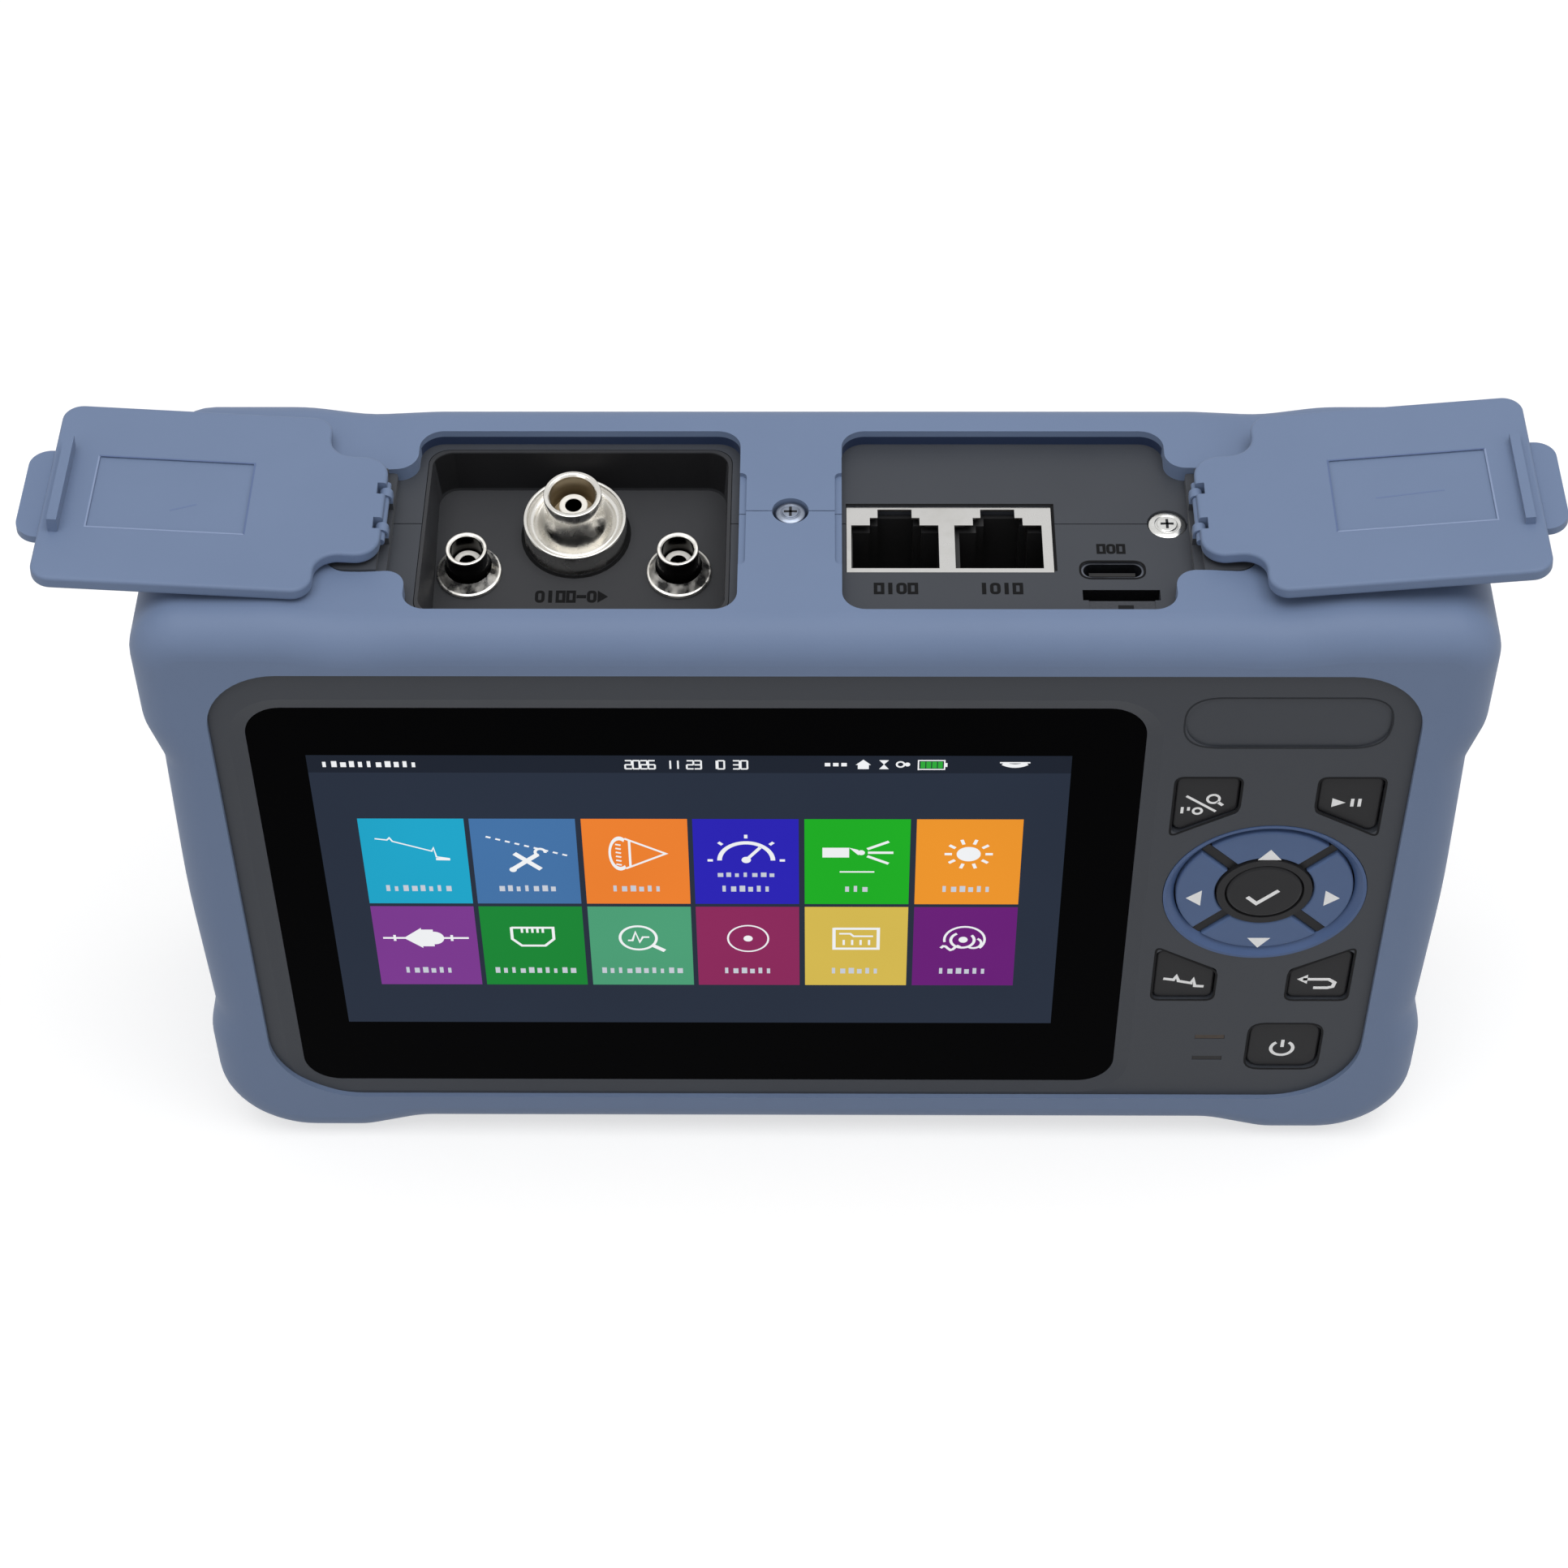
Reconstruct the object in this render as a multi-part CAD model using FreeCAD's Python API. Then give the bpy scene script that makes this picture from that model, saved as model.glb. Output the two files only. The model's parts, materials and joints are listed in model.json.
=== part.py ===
"""Handheld optical time domain reflectometer, a fibre tester with a touch screen and a keypad.

Row frame: +X to the right of the screen, +Y from the screen to the back, +Z up, millimetres.
The origin is under the middle of the case, on the surface that the corner bumpers stand on.
A hard black case in two halves carries everything, and a soft blue jacket is moulded round it.
Two hinged dust flaps lie open beside the port bays on the top edge.
Sizes that end in _d are distances from the middle of the two port bays, along X.
"""

import FreeCAD, Part
import math
import os

Vec = FreeCAD.Vector
GAP = 0.1                      # assembly gap between separate rigid pieces
REACH = 300.0                  # beyond every face of the case, for cuts that run right through

# --- screen and keypad, which set the width --------------------------------------------------
GLASS_X = -17.0
GLASS_Z = 57.5
GLASS_W = 129.6
GLASS_H = 87.0
SCREEN_X = GLASS_X - 1.1       # middle of the lit area
SCREEN_Z = GLASS_Z + 2.6
SCREEN_W = 110.6               # lit area of a 5 inch display, 16 to 9
SCREEN_H = 62.2
PAD_FROM_GLASS = 20.2          # middle of the four-way pad, right of the glass
PAD_X = GLASS_X + GLASS_W / 2 + PAD_FROM_GLASS
PAD_Z = 61.3
KEY_IN = 5.8                   # corner keys, nearest side to the pad's middle
KEY_OUT = 15.1                 # corner keys, far side
BEZEL_MARGIN = 3.7             # bezel beside the keys
BEZEL_HALF = PAD_X + KEY_OUT + BEZEL_MARGIN
BEZEL_RIM = 8.2                # jacket beside the bezel

# --- soft jacket -----------------------------------------------------------------------------
HEIGHT = 116.5                 # top face of the jacket between the corner bumpers
DEPTH = 50.0                   # front face to back face
WAIST_HALF = BEZEL_HALF + BEZEL_RIM        # half width at the ends of the grip
GRIP_BOW = 0.7                 # how far the middle of the grip bulges past its ends
GRIP_LOW = 31.0                # ends and middle of the grip, up from the feet
GRIP_MID = 59.5
GRIP_TOP = 89.0
GRIP_R = 300.0
GRIP_END_R = (8.0, 6.0)        # how the grip runs into the bumpers, low and high
BUMPER_HALF = WAIST_HALF + 2.0             # half width over the top bumpers
LOW_BUMPER_HALF = WAIST_HALF + 1.5         # half width over the bottom bumpers
BUMPER_LOW = 96.5              # lower end of the top bumpers, upper end of the bottom ones
LOW_BUMPER_HIGH = 24.5
BUMPER_END_R = (14.0, 11.0)
BUMPER_RISE = 0.9              # top bumpers above the top face
BUMPER_INNER = BUMPER_HALF - 22.0          # where the top bumpers reach their full height
BUMPER_SLOPE = 9.0             # length of the slope up to them
VALLEY_DEPTH = 0.6             # dip in the top face beside each bumper
VALLEY_RUN = 10.0              # length of the slope down into it
VALLEY_R = (28.0, 22.0, 40.0)  # crest of the bumper, bottom of the dip, edge of the flat top
FOOT_DROP = 2.6                # belly of the case above the feet
FOOT_INNER = LOW_BUMPER_HALF - 23.5        # where the feet start, from the middle
FOOT_SLOPE = 9.0
FOOT_SLOPE_R = 12.0
TOP_CORNER_R = 8.0
FOOT_CORNER_R = 15.0
FRONT_EDGE_R = 5.5
BACK_EDGE_R = 4.2
JACKET_WALL = 2.6              # jacket thickness over the hard case, at the grip and the top
PARTING_Y = 1.0                # plane where the front and rear halves meet
SEAM = 0.16                    # open seam between the jacket halves

# --- hard case -------------------------------------------------------------------------------
CASE_WALL = 2.2
CASE_CORNER_R = 10.0
CASE_HALF = WAIST_HALF - JACKET_WALL
CASE_TOP = HEIGHT - JACKET_WALL
CASE_FLOOR = FOOT_DROP + JACKET_WALL
CASE_FRONT = -DEPTH / 2 + JACKET_WALL
CASE_BACK = DEPTH / 2 - JACKET_WALL
SEAM_DEPTH = 0.35

# --- front bezel, screen ---------------------------------------------------------------------
BEZEL_LOW = 11.0
BEZEL_HIGH = 109.0
BEZEL_TOP_R = 11.0
BEZEL_LOW_R = 14.0
BEZEL_INSET = 0.8              # bezel behind the front face of the jacket
BEZEL_Y = -DEPTH / 2 + BEZEL_INSET
GLASS_R = 5.5
GLASS_T = 1.1
GLASS_INSET = 0.6              # glass behind the bezel
GLASS_BEVEL = 2.4              # width of the sloped edge round the glass
LCD_EDGE = 4.8                 # metal frame of the display round its lit area
LCD_T = 3.4

# --- keypad ----------------------------------------------------------------------------------
PAD_R = 15.3
DISH_R = 13.6                  # inner edge of the blue ring
COLLAR_R = 7.2                 # collar round the centre key
CENTRE_KEY_R = 5.75
SPOKE_W = 1.5
KEY_GAP = 0.25                 # running gap round every key
KEY_TRAVEL = 0.8
KEY_INSET = 0.45               # caps of the corner keys behind the bezel
PAD_KEY_INSET = 0.35
KEY_LIP = 0.8                  # flange behind the bezel that keeps a key in
KEY_LIP_T = 1.0
KEY_TOP = 25.6                 # corner keys, far end above or below the pad's middle
KEY_NEAR_LOW = 18.4            # slanted end, on the inner side
KEY_NEAR_OUT = 13.2            # slanted end, on the outer side
KEY_R = 1.3
POWER_X = PAD_X + 6.6
POWER_Z = 23.7
POWER_W = 11.2
PLATE_Z = 98.7                 # blank plate above the keypad
PLATE_W = 29.6
PLATE_H = 10.4
PLATE_DEPTH = 0.3
LIGHT_X = PAD_X - 5.3
LIGHT_Z = (26.1, 20.7)
LIGHT_W = 4.6
LIGHT_H = 0.9

# --- port bays on the top edge ---------------------------------------------------------------
PORT_X = -3.4                  # middle between the two bays
BAY_IN_D = 7.4
BAY_OUT_D = 54.6
NECK_OUT_D = 66.3
BAY_FRONT_RIM = 5.95           # top face in front of the bays, and behind them
BAY_BACK_RIM = 6.95
BAY_Y = (BAY_FRONT_RIM - BAY_BACK_RIM) / 2             # middle of the bays along Y
BAY_HALF = (DEPTH - BAY_FRONT_RIM - BAY_BACK_RIM) / 2  # half depth of a bay along Y
NECK_STEP = 7.9                # shoulder from a bay to its neck
NECK_HALF = BAY_HALF - NECK_STEP
BAY_R = 3.4
NECK_R = 3.0
FLAP_PLAY = 0.4                # gap round a closed flap
FLAP_T = 2.2
FLAP_PROUD = 1.5               # closed flaps stand this far above the top face
FLAP_SHOULDER_D = 49.6         # where a flap narrows into its tongue
HINGE_D = 58.4
HINGE_LIFT = 0.85              # hinge line above the top face
BEAD_R = 0.55                  # hinge rod moulded into the end of a flap
BEAD_HALF = 6.0
EAR_R = 0.95                   # ears that hold the rod, in two notches of the tongue
EAR_T = 1.6
EAR_AT = 3.6                   # ears from the middle of the tongue
EAR_PLAY = 0.35
TONGUE_SHORT = 0.0             # end of the tongue before the hinge line
TONGUE_R = 3.6
BEAD_PLAY = 0.1
FLAP_END_D = 10.3              # free end of a closed flap
TAB_END_D = 6.8
TAB_HALF = 9.0
TAB_T = 1.2
TAB_RECESS = 0.7               # finger recess in the top face under the tab of a closed flap
RIB_W = 1.4
LEFT_RIB_H = 2.4               # the left rib dips into the tray
RIGHT_RIB_H = 1.3              # the right rib stays above the case top
RIB_HALF = 8.8
RIB_INSET = 1.5
LEFT_REST_TILT = 4.0           # how far the open flaps point above level, in degrees
RIGHT_REST_TILT = 6.0
LABEL_FIELD = (14.8, 22.4)     # plain sunk field inside each flap, depth and length
LABEL_SINK = 0.25
LABEL_MID_D = 28.0             # middle of that field on a closed flap

# --- tray with the optical ports -------------------------------------------------------------
TRAY_INSET = 1.3               # rim of the case round the tray
TRAY_LIP = 0.5
TRAY_TAPER = 1.0
TRAY_FLANGE = 1.6               # flange of the tray under the top wall
TRAY_FLANGE_T = 1.2
TRAY_WALL = 1.6
TRAY_TILT = 9.0                # floor faces this far to the front, in degrees
TRAY_BACK_Z = 106.8            # floor height at the back of the tray
FC_D = 31.8
FC_BODY_R = 7.6
FC_ROOM = 0.85                 # middle port to the back wall of the tray
FC_Y = BAY_Y + BAY_HALF - TRAY_INSET - TRAY_LIP - FC_ROOM - FC_BODY_R
SIDE_PORT_STEP = 15.4          # side ports from the middle port along X
SIDE_PORT_Y = FC_Y - 7.15
FC_BODY_H = 4.0
FC_DISH = 1.5                  # depth of the turned dish round the barrel
FC_BARREL_R = 4.0
FC_BARREL_H = 5.6
FC_SHANK_R = 5.0
SIDE_SHANK_R = 2.6
FC_BORE_R = 3.2
SIDE_FLANGE_R = 4.7
SIDE_FLANGE_H = 0.9
SIDE_BARREL_R = 3.0
SIDE_BARREL_H = 5.1
SIDE_BORE_R = 2.3
FERRULE_R = 1.25               # bore of the ceramic sleeves, for a 2.5 mm ferrule
SLEEVE_R = 2.0
SLEEVE_DOWN = 2.6              # top of the sleeve below the rim of its barrel
SHANK_LENGTH = 6.0             # shanks below the tray floor

# --- boards, from the front wall to the back -------------------------------------------------
BOARD_T = 1.6
DOME_W = 3.0
DOME_H = 0.8
KEY_LIP_Y = CASE_FRONT + CASE_WALL + GAP               # front of the lips of the keys
DOME_Y = KEY_LIP_Y + KEY_LIP_T + KEY_TRAVEL + GAP      # a pressed key just reaches its dome
KEY_BOARD_Y = DOME_Y + DOME_H
BOARD_ROOM = 5.3               # parts between the key board and the main board
BOARD_Y = KEY_BOARD_Y + BOARD_T + BOARD_ROOM
BOARD_BACK_Y = BOARD_Y + BOARD_T

# --- electrical ports ------------------------------------------------------------------------
JACK_D = 8.1                   # near side of the network jack
JACK_W = 29.6
JACK_PITCH = 15.4
JACK_FRONT_Y = BOARD_BACK_Y
JACK_H = 13.6
JACK_SINK = 1.1                # jack face below the top of the case
JACK_DEEP = 15.5
PLUG_W = 12.4                  # opening for the plug
PLUG_H = 8.6
PLUG_DEEP = 12.5
STEP_W = 7.5
STEP_H = 1.4
LATCH_W = 5.2
LATCH_H = 1.6
PLUG_EDGE = 1.0
PLUG_SPRING = 0.35             # contact springs of the shield, at both sides of a plug
PLUG_SPRING_H = 0.7
PLUG_SPRING_AT = 3.4
JACK_WALL = 0.3                # sheet of the shield
JACK_FACE_T = 0.4
USB_D = 46.0
USB_Y = BOARD_BACK_Y + 0.4
USB_W = 8.94
USB_H = 3.26
USB_WALL = 0.3
USB_DEEP = 7.4
USB_SINK = 0.2
CARD_D = 47.0
CARD_Y = BOARD_Y - 3.1
CARD_WALL = 0.6
CARD_W = 11.0
CARD_H = 1.4
CARD_MOUTH = 2.1               # slot in the case in front of the socket
CARD_SCOOP = (9.4, 3.0, 0.9)   # sloped finger scoop in front of it: length, width, depth
CARD_DEEP = 14.0

# --- boards and modules ----------------------------------------------------------------------
BOARD_HALF = CASE_HALF - CASE_WALL - 3.4
BOARD_LOW = 20.0
BOARD_HIGH = 96.8
POST_R = 2.2
POST_IN = 2.8                  # posts inside the end of the main board
BOARD_POST_Z = (25.0, 92.5)
KEY_BOARD = (-17.0, 13.5, 19.0, 94.0)      # x from and to, from the pad's middle, then z from and to
KEY_POSTS = ((-14.0, 22.0), (-14.0, 91.4), (11.0, 91.4), (0.0, 38.0))
BATTERY = (-79.0, -6.0, 16.0, 86.0)        # x from, x to, z from, z to
OPTICS = (4.0, 79.0, 24.0, 88.0)
STANDOFF_H = 2.9
STANDOFF_IN = 5.0
BACK_PAD_T = 3.2                # thicker wall behind the stand
BATTERY_ROOM = 4.8              # behind the main board
BATTERY_R = 3.0
OPTICS_ROOM = 4.9               # in front of the thicker wall

# --- screws ----------------------------------------------------------------------------------
BOSS_R = 3.4
SCREW_X = CASE_HALF - 6.4
SCREW_Z = (13.5, 104.0)
SCREW_R = 1.5
SCREW_HEAD_R = 2.7
SCREW_HEAD_H = 1.8
SCREW_BITE = 10.4               # screw into the front half
SCREW_HOLE = 15.5               # depth of its hole
SCREW_SLOT_W = 0.7
SCREW_SLOT_DEPTH = 0.9
SCREW_SLOPE = 0.45              # sloped rim of a head, as a share of its height
SCREW_ARM = 0.62                # arm of the cross, as a share of the head's radius
TOP_SCREW_HEAD_R = 2.4
TOP_SCREW_HEAD_H = 1.6
TOP_SCREW_LENGTH = 7.0
PANEL_SCREW_LENGTH = 6.0
PANEL_SCREW_D = 54.4
PANEL_SCREW_HEAD_R = 2.7
PANEL_SCREW_HEAD_H = 1.3

# --- back panel and stand --------------------------------------------------------------------
BACK_PANEL_HALF = SCREW_X - 14.0
BACK_PANEL_LOW = 17.0
BACK_PANEL_HIGH = 102.0
BACK_PANEL_R = 9.0
BACK_PANEL_INSET = 0.6
STAND_W = 74.0
STAND_TOP = 88.0
STAND_LOW = 32.0
STAND_T = 2.4
STAND_R = 7.0
STAND_PLAY = 0.5
STAND_PIN_R = 1.0
STAND_PIN_Z = 84.5
STAND_PIN_GRIP = 3.0
FINGER_W = 22.0


# ============================== helpers ======================================================

def rounded_wire(corners, place):
    """A closed wire through corners (u, v, radius), with an arc at each corner that has a radius."""
    count = len(corners)
    joints = []
    for i, (u, v, radius) in enumerate(corners):
        before = corners[i - 1]
        after = corners[(i + 1) % count]
        here = Vec(u, v, 0)
        back = (Vec(before[0], before[1], 0) - here).normalize()
        ahead = (Vec(after[0], after[1], 0) - here).normalize()
        if radius <= 0:
            joints.append((here, here, here))
            continue
        half = math.acos(max(-1.0, min(1.0, back.dot(ahead)))) / 2
        reach = radius / math.tan(half)
        towards = (back + ahead).normalize()
        middle = here + towards * (radius / math.sin(half) - radius)
        joints.append((here + back * reach, middle, here + ahead * reach))
    edges = []
    for i, (start, middle, end) in enumerate(joints):
        if (end - start).Length > 1e-6:
            edges.append(Part.Arc(place(start), place(middle), place(end)).toShape())
        following = joints[(i + 1) % count][0]
        if (following - end).Length > 1e-6:
            edges.append(Part.LineSegment(place(end), place(following)).toShape())
    return Part.Wire(edges)


def prism_y(corners, y0, y1):
    """Outline in X and Z, extruded from y0 to y1."""
    wire = rounded_wire(corners, lambda p: Vec(p.x, y0, p.y))
    return Part.Face(wire).extrude(Vec(0, y1 - y0, 0))


def prism_z(corners, z0, z1):
    """Outline in X and Y, extruded from z0 to z1."""
    wire = rounded_wire(corners, lambda p: Vec(p.x, p.y, z0))
    return Part.Face(wire).extrude(Vec(0, 0, z1 - z0))


def rectangle(u0, u1, v0, v1, radius=0.0):
    return [(u0, v0, radius), (u1, v0, radius), (u1, v1, radius), (u0, v1, radius)]


def box(x0, x1, y0, y1, z0, z1):
    return Part.makeBox(x1 - x0, y1 - y0, z1 - z0, Vec(x0, y0, z0))


def rod(radius, start, end):
    """Cylinder from one point to another."""
    along = end - start
    return Part.makeCylinder(radius, along.Length, start, along)


def port_side(side):
    """X of a distance from the middle of the bays; side is -1 for the left bay and 1 for the right."""
    return lambda d: PORT_X + side * d


def side_corners(side, corners):
    """Corners given as (d, y, radius), placed on one side of the bays' middle."""
    at = port_side(side)
    return [(at(d), y, radius) for d, y, radius in corners]


def save(name, *solids):
    shape = solids[0] if len(solids) == 1 else Part.makeCompound(list(solids))
    if len(solids) == 1 and len(shape.Solids) == 1:
        shape = shape.Solids[0]
    shape.exportStep(os.path.join("parts", name + ".step"))


# ============================== outlines =====================================================

def jacket_outline():
    """Front view of the jacket: feet, grip with a slight bow, top bumpers and the dips beside them."""
    low = LOW_BUMPER_HALF
    top = HEIGHT + BUMPER_RISE
    half = [
        (FOOT_INNER - FOOT_SLOPE, FOOT_DROP, FOOT_SLOPE_R),
        (FOOT_INNER, 0.0, FOOT_SLOPE_R),
        (low, 0.0, FOOT_CORNER_R),
        (low, LOW_BUMPER_HIGH, BUMPER_END_R[0]),
        (WAIST_HALF, GRIP_LOW, GRIP_END_R[0]),
        (WAIST_HALF + GRIP_BOW, GRIP_MID, GRIP_R),
        (WAIST_HALF, GRIP_TOP, GRIP_END_R[1]),
        (BUMPER_HALF, BUMPER_LOW, BUMPER_END_R[1]),
        (BUMPER_HALF, top, TOP_CORNER_R),
        (BUMPER_INNER, top, VALLEY_R[0]),
        (BUMPER_INNER - BUMPER_SLOPE, HEIGHT - VALLEY_DEPTH, VALLEY_R[1]),
        (BUMPER_INNER - BUMPER_SLOPE - VALLEY_RUN, HEIGHT, VALLEY_R[2]),
    ]
    return half + [(-x, z, r) for x, z, r in reversed(half)]


def both_sides_of_bay(front):
    """Corners as (d, distance from the bays' middle line, radius), for the front and then the back."""
    back = [(d, BAY_Y + y, r) for d, y, r in reversed(front)]
    return [(d, BAY_Y - y, r) for d, y, r in front] + back


def bay_corners(grow=0.0):
    """One port bay with its neck, as (d, y, radius)."""
    inner = BAY_IN_D - grow
    outer = BAY_OUT_D + grow
    half = BAY_HALF + grow
    neck = NECK_HALF + grow
    end = NECK_OUT_D + grow
    front = [
        (inner, half, BAY_R),
        (outer, half, BAY_R),
        (outer, neck, NECK_R),
        (end, neck, NECK_R),
    ]
    return both_sides_of_bay(front)


def flap_corners():
    """A closed dust flap, with a tongue that reaches through the neck of the bay to the hinge."""
    half = BAY_HALF - FLAP_PLAY
    tongue = NECK_HALF - FLAP_PLAY
    return both_sides_of_bay([
        (FLAP_END_D, half, BAY_R - FLAP_PLAY),
        (FLAP_SHOULDER_D, half, BAY_R - FLAP_PLAY),
        (FLAP_SHOULDER_D, tongue, NECK_R + FLAP_PLAY),
        (HINGE_D - TONGUE_SHORT, tongue, TONGUE_R),
    ])


# ============================== case and jacket ==============================================

def jacket_envelope():
    body = prism_y(jacket_outline(), -DEPTH / 2, DEPTH / 2)
    front = [e for e in body.Edges if all(abs(v.Y + DEPTH / 2) < 1e-6 for v in e.Vertexes)]
    body = body.makeFillet(FRONT_EDGE_R, front)
    back = [e for e in body.Edges if all(abs(v.Y - DEPTH / 2) < 1e-6 for v in e.Vertexes)]
    return body.makeFillet(BACK_EDGE_R, back)


def case_block(grow=0.0):
    """Outer form of the hard case, with the bezel and the back panel that stand proud of it."""
    block = prism_y(
        rectangle(-CASE_HALF - grow, CASE_HALF + grow, CASE_FLOOR - grow, CASE_TOP + grow, CASE_CORNER_R),
        CASE_FRONT - grow, CASE_BACK + grow)
    return block


def bezel_block(y0, y1, grow=0.0):
    half = BEZEL_HALF + grow
    return prism_y([
        (-half, BEZEL_LOW - grow, BEZEL_LOW_R + grow), (half, BEZEL_LOW - grow, BEZEL_LOW_R + grow),
        (half, BEZEL_HIGH + grow, BEZEL_TOP_R + grow), (-half, BEZEL_HIGH + grow, BEZEL_TOP_R + grow)], y0, y1)


def back_panel_block(y0, y1, grow=0.0):
    half = BACK_PANEL_HALF + grow
    return prism_y(
        rectangle(-half, half, BACK_PANEL_LOW - grow, BACK_PANEL_HIGH + grow, BACK_PANEL_R + grow), y0, y1)


def halves(shape):
    """Splits a shape at the parting plane into its front and rear parts."""
    front = box(-REACH, REACH, -REACH, PARTING_Y, -REACH, REACH)
    rear = box(-REACH, REACH, PARTING_Y, REACH, -REACH, REACH)
    return shape.common(front), shape.common(rear)


def make_jacket():
    body = jacket_envelope().cut(case_block())
    body = body.cut(bezel_block(-DEPTH, CASE_FRONT + 1.0, GAP / 2))
    body = body.cut(back_panel_block(CASE_BACK - 1.0, DEPTH, GAP / 2))
    for side in (-1, 1):
        body = body.cut(prism_z(side_corners(side, bay_corners()), CASE_TOP - 1.0, HEIGHT + 5.0))
        at = port_side(side)
        tab_x = sorted((at(TAB_END_D - FLAP_PLAY), at(BAY_IN_D + 1.0)))
        recess = prism_z(rectangle(*tab_x, BAY_Y - TAB_HALF - 0.5, BAY_Y + TAB_HALF + 0.5, 0.9),
                         HEIGHT - TAB_RECESS, HEIGHT + FLAP_PROUD)
        body = body.cut(recess)
    hole_foot = Vec(PORT_X, PARTING_Y, CASE_TOP - 1.0)
    body = body.cut(rod(TOP_SCREW_HEAD_R + 0.25, hole_foot, hole_foot + Vec(0, 0, 10)))
    for x, z in screw_places():
        body = body.cut(rod(SCREW_HEAD_R + 0.4, Vec(x, CASE_BACK - 1.0, z), Vec(x, DEPTH, z)))
    body = body.cut(box(-REACH, REACH, PARTING_Y - SEAM / 2, PARTING_Y + SEAM / 2, -REACH, REACH))
    front, rear = halves(body)
    save("front_jacket", front)
    save("rear_jacket", rear)


def screw_places():
    return [(side * SCREW_X, z) for z in SCREW_Z for side in (-1, 1)]


def case_cavity():
    cavity = prism_y(
        rectangle(-CASE_HALF + CASE_WALL, CASE_HALF - CASE_WALL, CASE_FLOOR + CASE_WALL, CASE_TOP - CASE_WALL,
                  CASE_CORNER_R - CASE_WALL),
        CASE_FRONT + CASE_WALL, CASE_BACK - CASE_WALL)
    return cavity


def tray_outline(inset, side=-1):
    lip = BAY_IN_D + TRAY_INSET + inset
    far = BAY_OUT_D - TRAY_INSET - inset
    half = BAY_HALF - TRAY_INSET - inset
    return side_corners(side, rectangle(lip, far, BAY_Y - half, BAY_Y + half, BAY_R - 0.4))


def lcd_box(grow=0.0):
    """Space of the display module behind the glass."""
    half_w = SCREEN_W / 2 + LCD_EDGE + grow
    half_h = SCREEN_H / 2 + LCD_EDGE + grow
    front = BEZEL_Y + GLASS_INSET + GLASS_T
    return (SCREEN_X - half_w, SCREEN_X + half_w, front + GAP, front + GAP + LCD_T,
            SCREEN_Z - half_h, SCREEN_Z + half_h)


def glass_corners(grow=0.0):
    return rectangle(GLASS_X - GLASS_W / 2 - grow, GLASS_X + GLASS_W / 2 + grow,
                     GLASS_Z - GLASS_H / 2 - grow, GLASS_Z + GLASS_H / 2 + grow, GLASS_R + grow)


def glass_seat():
    """Pocket for the glass with a sloped edge round it."""
    face = BEZEL_Y + GLASS_INSET
    pocket = prism_y(glass_corners(GAP), BEZEL_Y - 1.0, face + GLASS_T)
    outer = rounded_wire(glass_corners(GLASS_BEVEL), lambda p: Vec(p.x, BEZEL_Y, p.y))
    inner = rounded_wire(glass_corners(GAP), lambda p: Vec(p.x, face, p.y))
    bevel = Part.makeLoft([outer, inner], True, True)
    return pocket.fuse(bevel)


def corner_key_corners(right, upper, grow=0.0):
    """Outline of one of the four corner keys; its slanted end follows the ring beside it."""
    sx = 1 if right else -1
    sz = 1 if upper else -1
    slant = math.atan2(KEY_NEAR_LOW - KEY_NEAR_OUT, KEY_OUT - KEY_IN)
    lift_in = grow * (1 / math.cos(slant) + math.tan(slant))
    lift_out = grow * (1 / math.cos(slant) - math.tan(slant))
    points = [
        (KEY_IN - grow, KEY_NEAR_LOW - lift_out, KEY_R),
        (KEY_OUT + grow, KEY_NEAR_OUT - lift_in, KEY_R),
        (KEY_OUT + grow, KEY_TOP + grow, KEY_R),
        (KEY_IN - grow, KEY_TOP + grow, KEY_R),
    ]
    return [(PAD_X + sx * x, PAD_Z + sz * z, r) for x, z, r in points]


def power_key_corners(grow=0.0):
    half = POWER_W / 2 + grow
    return rectangle(POWER_X - half, POWER_X + half, POWER_Z - half, POWER_Z + half, 2.6 + grow)


CORNER_KEYS = (
    ("zoom_key", False, True),
    ("start_key", True, True),
    ("trace_key", False, False),
    ("back_key", True, False),
)


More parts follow.
